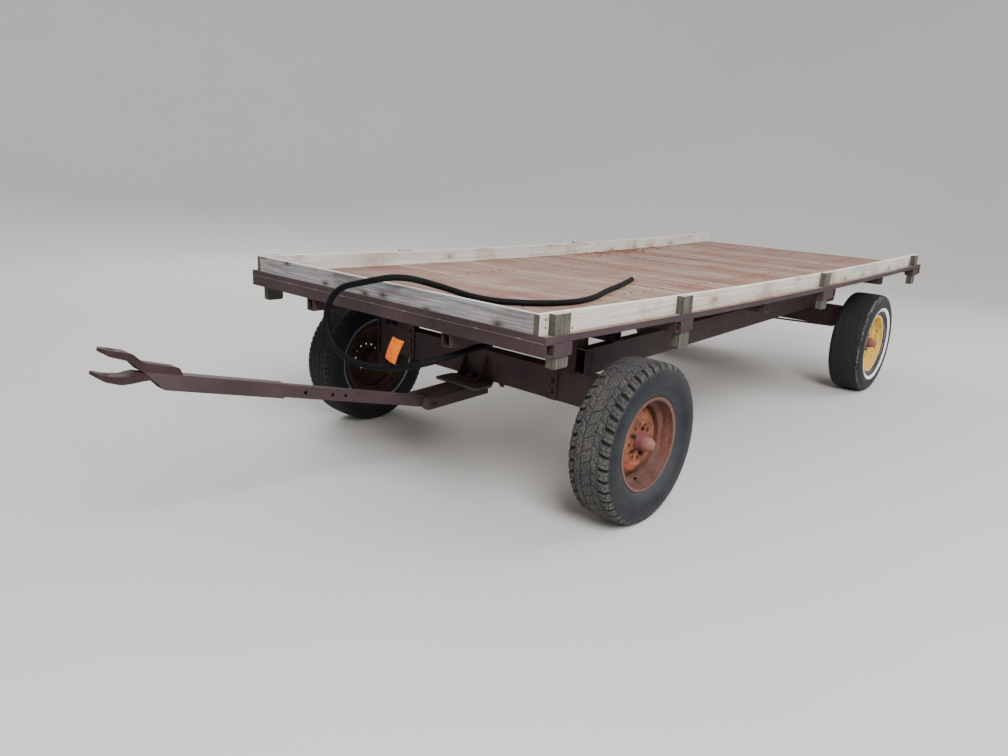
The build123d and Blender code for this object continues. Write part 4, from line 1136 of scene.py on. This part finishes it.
@dataclass
class Hose:
    """The hoist's hose: a curve with the same points as its solid, and its cord facts."""

    diameter_mm: float = 28.0
    # Points of the route from the port to the coupling: (X from the deck's front, Y, Z)
    route_mm: tuple[tuple[float, float, float], ...] = (
        (-400, 430, 780), (-250, 432, 769), (-85, 474, 770), (75, 433, 740), (130, 272, 692),
        (146, 98, 680), (153, -68, 709), (155, -141, 848), (145, -70, 986), (105, 95, 1034),
        (30, 217, 1069), (-91, 319, 1035),
    )
    # Points that lie on the deck: (behind the deck's front, Y)
    laid_mm: tuple[tuple[float, float], ...] = (
        (365, 312), (504, 496), (711, 569), (933, 534), (1218, 412), (1500, 323), (1770, 208),
    )
    deck_top_mm: float = 940.0
    lift_mm: float = 14.3
    length: float = 3.57

    def route(self) -> np.ndarray:
        """Lay the later points on the sagging deck.

        Returns:
            All the route's points in metres.
        """
        free = np.array(self.route_mm) * MM + (DECK_FRONT_X, 0, 0)
        laid = np.array(self.laid_mm) * MM
        x = DECK_FRONT_X - laid[:, 0]
        z = (self.deck_top_mm + self.lift_mm) * MM - sag_at(x)
        return np.concatenate([free, np.stack([x, laid[:, 1], z], axis=1)])

    def dress(self, rubber: Material) -> None:
        """Args:
            rubber: Its cover's material.
        """
        route = self.route()
        curve = bpy.data.curves.new("hose_run", "CURVE")
        curve.dimensions = "3D"
        curve.bevel_depth = self.diameter_mm / 2 * MM
        curve.bevel_resolution = 6
        curve.resolution_u = 10
        curve.use_fill_caps = True
        spline = curve.splines.new("NURBS")
        spline.points.add(len(route) - 1)
        spline.points.foreach_set("co", np.concatenate([route, np.ones((len(route), 1))], axis=1).ravel())
        spline.order_u = 3
        spline.use_endpoint_u = True
        curve.materials.append(rubber)
        piece = bpy.data.objects.new("hose_run", curve)
        bpy.context.scene.collection.objects.link(piece)
        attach(piece, "bed")
        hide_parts("hose")
        LOG.info("hose_run: %d route points", len(route))


# Sections of small round or six sided heads: (height, radius) in millimetres
HEX_HEAD = ((0, 0), (0, 13), (7, 13), (8.5, 11.2), (8.5, 0))
LOW_NUT = ((0, 0), (0, 12), (8, 12), (9.5, 10.2), (9.5, 0))
BOLT_END = ((-2, 0), (-2, 12), (8, 12), (9.5, 10.5), (9.5, 6.5), (19, 6.5), (20, 5.4), (20, 0))
NAIL_HEAD = ((-1, 0), (-1, 4.4), (0.5, 4.4), (1.2, 3.2), (1.4, 0))
SCREW_HEAD = ((-1, 0), (-1, 8.5), (0.6, 8.0), (2.2, 5.5), (2.8, 0))


@dataclass
class Deck:
    """The planked bed: screws through the planks, nails in the boards, welds below, leaves on top."""

    steel: Material
    weld: Material
    # Thin pale enamel, also used for the painted highlight along the front strip's joint
    rubbed: Material
    litter: Material
    planks: int = 24
    # Where in a plank its two screws stand, as a share of its width
    screw_share: tuple[float, float] = (0.28, 0.72)
    rail_y: float = 0.475
    board_nails_z: tuple[float, float] = (0.998, 0.968)
    tacks: int = 9
    tacks_y: float = 0.86
    leaves_count: int = 170
    leaves_x: float = -1.35
    leaves_y: float = -0.915
    leaves_z: float = 0.9402
    leaf_grid: tuple[int, int] = (7, 4)

    def screws(self) -> None:
        """Two rows of low round heads over the long tubes, two in each plank."""
        low, high = (np.array(v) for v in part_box("deck_planks"))
        pitch = (high[0] - low[0]) / self.planks
        x = (low[0] + (np.arange(self.planks)[:, None] + np.array(self.screw_share)) * pitch).ravel()
        # Hand driven, so the rows wander by 8 mm
        drift = 0.008 * np.sin(x * 37.0)
        places = np.concatenate([
            np.stack([x, side * self.rail_y + drift, high[2] - sag_at(x)], axis=1) for side in (1, -1)])
        make("deck_screws", heads(places, (0, 0, 1), turned(SCREW_HEAD, 12)), self.steel, "bed")

    def nails(self) -> None:
        """Two nail heads in the outer face of each stake and at the front end of each side board."""
        for name, side in HANDS:
            places = []
            for k, (low, high) in enumerate(solids_of(f"stakes_{name}")):
                y = high[1] if side > 0 else low[1]
                x = (low[0] + high[0]) / 2
                # Driven 22 and 60 mm below the top, a little off the middle
                places += [(x + 0.012, y, high[2] - 0.022), (x + 0.010 - 0.004 * k, y, high[2] - 0.060)]
            low, high = corners(f"side_board_{name}")
            y = high.y if side > 0 else low.y
            places += [(high.x - 0.036, y, z) for z in self.board_nails_z]
            make(f"board_nails_{name}", heads(places, (0, side, 0), turned(NAIL_HEAD, 10)),
                 self.steel, "bed")

    def pocket_welds(self) -> None:
        """A bead along the outer top edge of each pocket, 2 mm inside its face."""
        for name, side in HANDS:
            beads = []
            for low, high in solids_of(f"stake_pockets_{name}"):
                y = (high[1] - 0.002) if side > 0 else (low[1] + 0.002)
                beads.append(seam((low[0], y, high[2]), (high[0], y, high[2]), 0.0035))
            make(f"pocket_welds_{name}", joined(beads), self.weld, "bed")

    def strip_highlight_and_tacks(self) -> None:
        """A painted highlight: a pale line along the joint of the front strip with the front tube, where
        the tube's top edge catches light, and the joint's short tack welds in the same pale enamel.
        """
        low, high = solids_of("crossmembers")[-1]
        x, z = high[0] - 0.0004, high[2]
        path = np.linspace((x, low[1] + 0.008, z), (x, high[1] - 0.008, z), 60)
        tacks = [seam((x, y - 0.018, z), (x, y + 0.018, z), 0.0026)
                 for y in np.linspace(-self.tacks_y, self.tacks_y, self.tacks)]
        # The pale line is a painted highlight on the front tube's top edge
        line = tube(path, np.full(len(path), 0.0013), 6)
        make("strip_highlight_and_tacks", joined([line, *tacks]), self.rubbed, "bed")

    def tube_welds(self) -> None:
        """Beads 48 mm long where each cross tube sits on the long tubes."""
        beads = []
        for low, high in solids_of("crossmembers"):
            z = low[2] + 0.002
            for side in (1, -1):
                y = side * self.rail_y
                beads += [seam((x, y - 0.024, z), (x, y + 0.024, z), 0.0035) for x in (low[0], high[0])]
        make("cross_tube_welds", joined(beads), self.weld, "bed")

    def leaves(self) -> None:
        """Dry curled leaf scraps along the far board.

        Each is a diamond, 1 - s squared wide at s along it, cupped across and curled up at its ends.
        """
        rng = np.random.default_rng(7)
        count = self.leaves_count
        along = rng.normal(self.leaves_x, 0.30, count)
        across = self.leaves_y + np.abs(rng.normal(0, 0.10, count))
        # Half of a leaf's length
        size = rng.uniform(0.008, 0.019, count)
        spin = rng.uniform(0, math.pi, count)
        rows, cols = self.leaf_grid
        s = np.linspace(-1, 1, rows)[:, None]
        t = np.linspace(-1, 1, cols)[None, :]
        height = 0.25 * (1 - s**2) * (1 - 0.8 * t**2) + 0.3 * s**2
        flat = np.stack(np.broadcast_arrays(s, (1 - s**2) * t * 0.45, height), axis=-1).reshape(-1, 3)
        points = flat[None] * size[:, None, None]
        c, d = np.cos(spin)[:, None], np.sin(spin)[:, None]
        x = points[..., 0] * c - points[..., 1] * d + along[:, None]
        y = points[..., 0] * d + points[..., 1] * c + across[:, None]
        z = points[..., 2] + (self.leaves_z - sag_at(along))[:, None]
        faces = grid_faces(rows, cols, False, False)[None] + (np.arange(count) * rows * cols)[:, None, None]
        piece = make("leaf_scraps", (np.stack([x, y, z], -1).reshape(-1, 3), faces.reshape(-1, 4)),
                     self.litter, "bed")
        thick = piece.modifiers.new("leaf_thickness", "SOLIDIFY")
        thick.thickness = 0.0006
        thick.offset = 1.0

    def dress(self) -> None:
        """Add everything that is fixed to the bed."""
        self.screws()
        self.nails()
        self.pocket_welds()
        self.strip_highlight_and_tacks()
        self.tube_welds()
        self.leaves()


@dataclass
class RunningGear:
    """Posts, fastenings and welds on the frame, the axles and the steering gear."""

    steel: Material
    weld: Material
    # The darkest enamel, which the bolster posts take as painted shade
    dark: Material
    post_side: float = 0.088
    post_high: float = 0.205
    post_y: float = 0.590
    post_behind: float = 0.052
    # How far out the side channels stand at their front and rear ends
    channel_front_y: float = 0.690
    channel_rear_y: float = 0.525
    # A hound leg's stud under the steering plate: behind the deck's front, out, up
    stud_at: tuple[float, float, float] = (0.836, 0.055, 0.4055)
    strap_y: float = 0.510
    strap_bolts_z: tuple[float, float, float] = (0.505, 0.560, 0.612)

    def bolster_posts_in_painted_shade(self) -> None:
        """A short square post at each end of the front beam, inboard of the channel, under the deck, in the
        darkest enamel as painted shade.
        """
        _, beam = corners("front_axle")
        channel, _ = corners("frame_channel_left")
        reach = self.post_side / math.sqrt(2) / MM
        post = turned(((0, 0), (0, reach), (self.post_high / MM, reach), (self.post_high / MM, 0)), 4)
        x, z = beam.x - self.post_behind, channel.z - 0.002
        places = np.array([(x, side * self.post_y, z) for side in (1, -1)])
        square = np.stack([basis((0, 0, 1), math.pi / 4)] * 2)
        make("bolster_posts_in_painted_shade", scatter(post, places, square), self.dark, "chassis")

    def axle_welds(self) -> None:
        """Beads where each side channel, which runs inwards to the rear, sits on a beam or a tube."""
        beads = []
        for name, side in HANDS:
            low, high = (np.array(v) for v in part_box(f"frame_channel_{name}"))
            for carrier, z in (("front_axle", low[2]), ("rear_axle", low[2]), ("front_bolster", high[2])):
                for x in (corner[0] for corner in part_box(carrier)):
                    if not low[0] < x < high[0] + 0.001:
                        continue
                    share = (high[0] - x) / (high[0] - low[0])
                    y = side * (self.channel_front_y + (self.channel_rear_y - self.channel_front_y) * share)
                    beads.append(seam((x, y - side * 0.050, z), (x, y - side * 0.001, z), 0.0045))
        make("frame_welds", joined(beads), self.weld, "chassis")

    def steering_bolts(self) -> None:
        """Nuts on the studs under the steering plate, and a nut and a head on the lift pin's ends."""
        behind, out, up = self.stud_at
        studs = [(DECK_FRONT_X - behind, side * out, up) for side in (1, -1)]
        make("steering_stud_nuts", heads(studs, (0, 0, -1), turned(LOW_NUT, 6)), self.steel, "steering")
        low, high = corners("lift_pin")
        x, z = (low.x + high.x) / 2, (low.z + high.z) / 2
        shape = joined([heads([(x, high.y - 0.001, z)], (0, 1, 0), turned(BOLT_END, 6)),
                        heads([(x, low.y + 0.001, z)], (0, -1, 0), turned(HEX_HEAD, 6))])
        make("lift_pin_nuts", shape, self.steel, "steering")

    def strap_bolts(self) -> None:
        """Three hex heads on each strap of the front axle beam."""
        _, high = corners("front_axle")
        places = [(high.x, side * self.strap_y, z) for side in (1, -1) for z in self.strap_bolts_z]
        make("axle_strap_bolts", heads(places, (1, 0, 0), turned(HEX_HEAD, 6)), self.steel, "chassis")

    def dress(self) -> None:
        """Add the posts and all the gear's fastenings."""
        self.bolster_posts_in_painted_shade()
        self.axle_welds()
        self.steering_bolts()
        self.strap_bolts()


@dataclass
class InspectionTag:
    """A blank bright card tied to the hose with a loop of thin wire; places are ahead of the deck."""

    card: Material
    wire: Material
    # The card's corners from the top left round
    card_at: tuple[tuple[float, float, float], ...] = (
        (0.140, 0.314, 0.842), (0.140, 0.383, 0.834), (0.140, 0.329, 0.728), (0.140, 0.267, 0.745),
    )
    thickness: float = 0.0008
    steps: int = 13
    hose_at: tuple[float, float, float] = (0.128, 0.278, 0.6925)
    loop_radius: float = 0.0155
    wire_radius: float = 0.0011

    def dress(self) -> None:
        """Hang the card, bowed by a sine across and along, and tie its foot to the hose."""
        a, b, c, d = (np.array(p) + (DECK_FRONT_X, 0, 0) for p in self.card_at)
        n = self.steps
        s = np.linspace(0, 1, n)[:, None, None]
        t = np.linspace(0, 1, n)[None, :, None]
        flat = (a * (1 - s) + d * s) * (1 - t) + (b * (1 - s) + c * s) * t
        bow = 0.006 * np.sin(math.pi * t) + 0.004 * np.sin(math.pi * s)
        front = flat + np.concatenate([bow, 0 * bow, 0 * bow], axis=2)
        points = np.stack([front, front - (self.thickness, 0, 0)])
        top = grid_faces(n, n, False, False)
        under = top[:, ::-1] + n * n
        rim = np.concatenate([np.arange(n), np.arange(2 * n - 1, n * n, n),
                              np.arange(n * n - 2, n * n - n - 1, -1), np.arange(n * (n - 2), 0, -n)])
        after = np.roll(rim, -1)
        walls = np.stack([rim, rim + n * n, after + n * n, after], axis=1)
        make("inspection_tag", (points.reshape(-1, 3), np.concatenate([top, under, walls])), self.card,
             "bed")
        foot = (c + d) / 2 + (0.002, 0, 0.008)
        turn = np.linspace(0, FULL_TURN, 40)
        ring = np.stack([0 * turn, np.sin(turn), np.cos(turn)], axis=1) * self.loop_radius
        loop = np.array(self.hose_at) + (DECK_FRONT_X, 0, 0) + ring
        stem = smooth_line([loop[0], (loop[0] + foot) / 2 + (0.003, 0.002, 0), foot], 10)
        wires = [tube(path, np.full(len(path), self.wire_radius), 6) for path in (loop, stem)]
        make("tag_wire", joined(wires), self.wire, "bed")


def wheel_finishes(place: str, side: int) -> dict[str, Finish]:
    """Mix the enamel of one wheel and of its hub: rusted orange at the left front, darkened as painted
    shade at the right front, chalky yellow behind.

    Args:
        place: The wheel's station.
        side: 1 on the left, -1 on the right.

    Returns:
        The finishes of its two nodes.
    """
    low, high = corners(f"tyre_{place}")
    axle = {"centre": tuple((low + high) / 2), "side": side}
    # The right front wheel stands in shade, so its enamel and its cap take painted shade
    dark = place == "front_right"
    if dark:
        # Nearly black: rust and road dirt, darkened much further as painted shade
        rim = AxlePaint("rusty_enamel_in_painted_shade", relief_mm=0.7, paint_hex="#33211d", faded="#4a302a",
                        rust="#5a3020", dust="#65564e", rust_share=0.56, dust_share=0.4, **axle)
    elif place == "front_left":
        # The disc has rusted to orange, the brim is a dusty rose
        rim = AxlePaint("rusty_rose_enamel", relief_mm=0.7, paint_hex="#43291f", faded="#74524a",
                        rust="#5a2c1c", dust="#80625a", rust_share=0.54, dust_share=0.4, core="#a05a3a",
                        core_most=0.85, lip="#886660", lip_most=0.35, **axle)
    else:
        # Sun has bleached the brim, brown rust bleeds from the middle
        rim = AxlePaint("chalky_yellow_enamel", paint_hex="#c29838", faded="#d8b35e", rust="#6c3f20",
                        dust="#cdb06c", rust_share=0.60, dust_share=0.2, core="#a87428",
                        core_most=0.5, lip="#dcc078", lip_most=0.6, **axle)
    # A dull red cap, rubbed to primer at its end; on the right front wheel it is darker and plain, as
    # painted shade
    hub = AxlePaint("dull_red_enamel", paint_hex="#33211f" if dark else "#5e2e30",
                    faded="#4a322e" if dark else "#744040", rust="#5c3226", dust="#8a6860", rust_share=0.58,
                    dust_share=0.25, tip="#8c6156", tip_most=0.0 if dark else 0.75,
                    tip_mm=(52.0, 84.0) if place.startswith("front") else (66.0, 96.0), **axle)
    return {f"wheel_{place}": rim, f"hub_{place}": hub}


def finishes() -> dict[str, Material]:
    """Build each finish once.

    Returns:
        The materials, by the record's slots and by the nodes that have one of their own.
    """
    # Thick enamel over rough forgings: nearly black, with brown rust in its pits
    clevis = WornPaint("dark_enamel_on_forgings", paint_hex="#2a191b", faded="#3a2629", rust="#4a2a20",
                       dust="#5f5048", rust_share=0.60, dust_share=0.3)
    # Painted with the side channels, but out in the weather: paler, with dust on its ledges
    strips = WornPaint("enamel_on_edge_strips", paint_hex="#34262a", faded="#453539", rust="#55352a",
                       dust="#85776c", rust_share=0.66, dust_share=0.45)
    made: dict[str, Finish] = {
        # Brushed on rolled steel: a dull plum brown with few specks of rust
        "frame_paint": WornPaint("brushed_enamel_plum_brown", paint_hex="#322426", faded="#463638",
                                 rust="#4a2c20", dust="#6d6058", rust_share=0.65, dust_share=0.3),
        "edge_strips": strips,
        "stake_pockets_left": strips,
        "stake_pockets_right": strips,
        # Rubbed by loads sliding over the edge: thin and greyed
        "rubbed_paint": WornPaint("enamel_rubbed_thin", paint_hex="#5a484b", faded="#7a686a",
                                  rust="#6b4a3c", dust="#9a8c84", rust_share=0.62, dust_share=0.5),
        # Low and ahead of the wheels: the same paint under more dust
        "tongue_paint": WornPaint("brushed_enamel_red_brown", paint_hex="#382a2c", faded="#4c3c3f",
                                  dust="#7a6c64", rust_share=0.64, dust_share=0.35),
        "clevis_upper": clevis,
        "clevis_lower": clevis,
        # A redder coat that shows in the seat of the pivot, darkened as painted shade, for the seat lies in
        # shade under the bed
        "steering_pivot": WornPaint("red_enamel_darkened_as_shade", paint_hex="#3a2022", faded="#4e1e22",
                                    rust="#4c2a20", dust="#5b4a42", rust_share=0.62, dust_share=0.2),
        # The plate slides, so grey green primer shows through
        "steering_plate": WornPaint("enamel_worn_to_primer", paint_hex="#45433c", faded="#5a574e",
                                    dust="#6b675a", rust_share=0.60),
        # Turned steel, browned by air: a dull glint
        "bare_steel": BareSteel("browned_bare_steel", clean="#5d554e", rust="#43291f"),
        # Zinc plated: the one pale metal on the trailer
        "hose_fitting": BareSteel("plated_hose_coupling", clean="#c4c0ba", rust="#7a6a5c", rust_share=0.64),
        # Forged nuts, rusted dark all over
        "nut_steel": BareSteel("rusted_lug_nuts", metallic=0.4, clean="#3c322d", rust="#341e15",
                               rust_share=0.45),
        # Dry leaves: warm brown on the greyed planks
        "dry_leaves": Card("dry_leaf_litter", sheet="#8f5230", scuffed="#553420"),
        # Extruded rubber: the blackest piece, with only a faint sheen
        "hose_rubber": HoseRubber("extruded_hose_rubber", relief_mm=0.1, sheen=0.14),
        # Planed softwood across the deck: pinkish brown, worn grey in bands, each plank its own tone
        "deck_wood": Timber("worn_deck_planks", grain=Grain.WIDTH, pale="#a99584", streak="#7a5e52",
                            stain="#8c5f4d", check="#3f2c25", streak_mm=26.0, run_mm=900.0,
                            check_share=0.66, stain_share=0.55, plank_mm=202.96, relief_mm=0.8),
        # Painted white long ago: nearly white, with soft brown knots and stains
        "board_wood": Timber("whitened_side_boards", pale="#d6d1c8", streak="#b1aaa0", stain="#8f7464",
                             check="#62544b", streak_mm=9.0, run_mm=700.0, check_share=0.685,
                             stain_share=0.59, bleached=0.6, knot_mm=210.0, knot_share=0.45,
                             relief_mm=0.5),
        # Bare wood out in the rain: blue grey, with dark knots and open checks
        "front_board": Timber("weathered_front_board", grain=Grain.WIDTH, pale="#a6a3a1", streak="#666367",
                              stain="#574d4b", check="#282529", streak_mm=8.0, run_mm=300.0,
                              check_share=0.58, stain_share=0.60, bleached=0.5, knot_mm=120.0, flat=0,
                              relief_mm=0.9),
        # Rough sawn studs: brown grey, with dark cracks down their length
        "stake_wood": Timber("weathered_stakes", grain=Grain.HEIGHT, pale="#6b675e", streak="#3c3934",
                             stain="#4a4238", check="#171411", streak_mm=6.5, run_mm=260.0,
                             check_share=0.56, stain_share=0.58, bleached=0.5, relief_mm=0.9),
    }
    for place, side in SIDES.items():
        made |= wheel_finishes(place, side)
    return {key: finish.build() for key, finish in made.items()}


def paint_nodes(made: dict[str, Material]) -> None:
    """Give every CAD node the finish of its own name, or else of its slot in the record.

    Args:
        made: The materials by slot and node.
    """
    for part in frame["record"]["subparts"]:
        node = part["node"]
        finish = made.get(node) or made.get(part["material_slot"])
        if finish is None:
            continue
        for slot in frame["nodes"][node].material_slots:
            slot.material = finish
        LOG.info("%s: finish %s", node, finish.name)


def tyres() -> tuple[Tyre, ...]:
    """Choose the four tyres, each of another make, wear and age.

    Returns:
        One tyre a wheel.
    """
    return (
        # The one driving tread: grey with dust, its blocks crazed
        Tyre("front_left", Tread.BLOCKS, TyreRubber(
            "dusty_block_tread", relief_mm=0.8, wall="#10151d", scuff="#5a5856", bead_most=0.25, slits=0.8,
        ), steps=756),
        # A thin white ring, drawn mid grey as painted shade, for this tyre stands in shade; noise greys it
        # a little more as grime
        Tyre("front_right", Tread.RIBS, TyreRubber(
            "ribbed_tread_pale_ring", band_mm=(243.0, 253.0), band="#8f9499", wall="#12161d",
            scuff="#2c2b2a", bead_most=0.25)),
        # Worn smooth and torn by the shoulder, with a broad clean white ring
        Tyre("rear_left", Tread.BALD, TyreRubber(
            "bald_tread_pale_ring", band_mm=(252.0, 277.0), band="#f0eef6", wall="#10141c",
            scuff="#202226", bead_most=0.1, scuff_most=0.75, torn_mm=101.0)),
        Tyre("rear_right", Tread.RIBS, TyreRubber("ribbed_tread", wall="#12161d", scuff="#333230")),
    )


def main() -> None:
    """Build the stage and every dressed sub-assembly in order."""
    logging.basicConfig(level=logging.INFO, format="%(name)s: %(message)s")
    Studio().dress()
    made = finishes()
    paint_nodes(made)
    for tyre in tyres():
        tyre.dress()
    for place, side in SIDES.items():
        face_mm = 23.0 if place.startswith("front") else 36.0
        WheelFittings(place, side, made["nut_steel"], made["hose_rubber"], face_mm).dress()
    Deck(made["bare_steel"], made["frame_paint"], made["rubbed_paint"], made["dry_leaves"]).dress()
    # The nearly black forging enamel goes on the bolster posts as painted shade
    RunningGear(made["bare_steel"], made["frame_paint"], made["clevis_upper"]).dress()
    Hose().dress(made["hose_rubber"])
    # Coated card stock: the one bright colour on the trailer
    InspectionTag(Card("orange_card_stock").build(), made["bare_steel"]).dress()


if __name__ == "__main__":
    main()
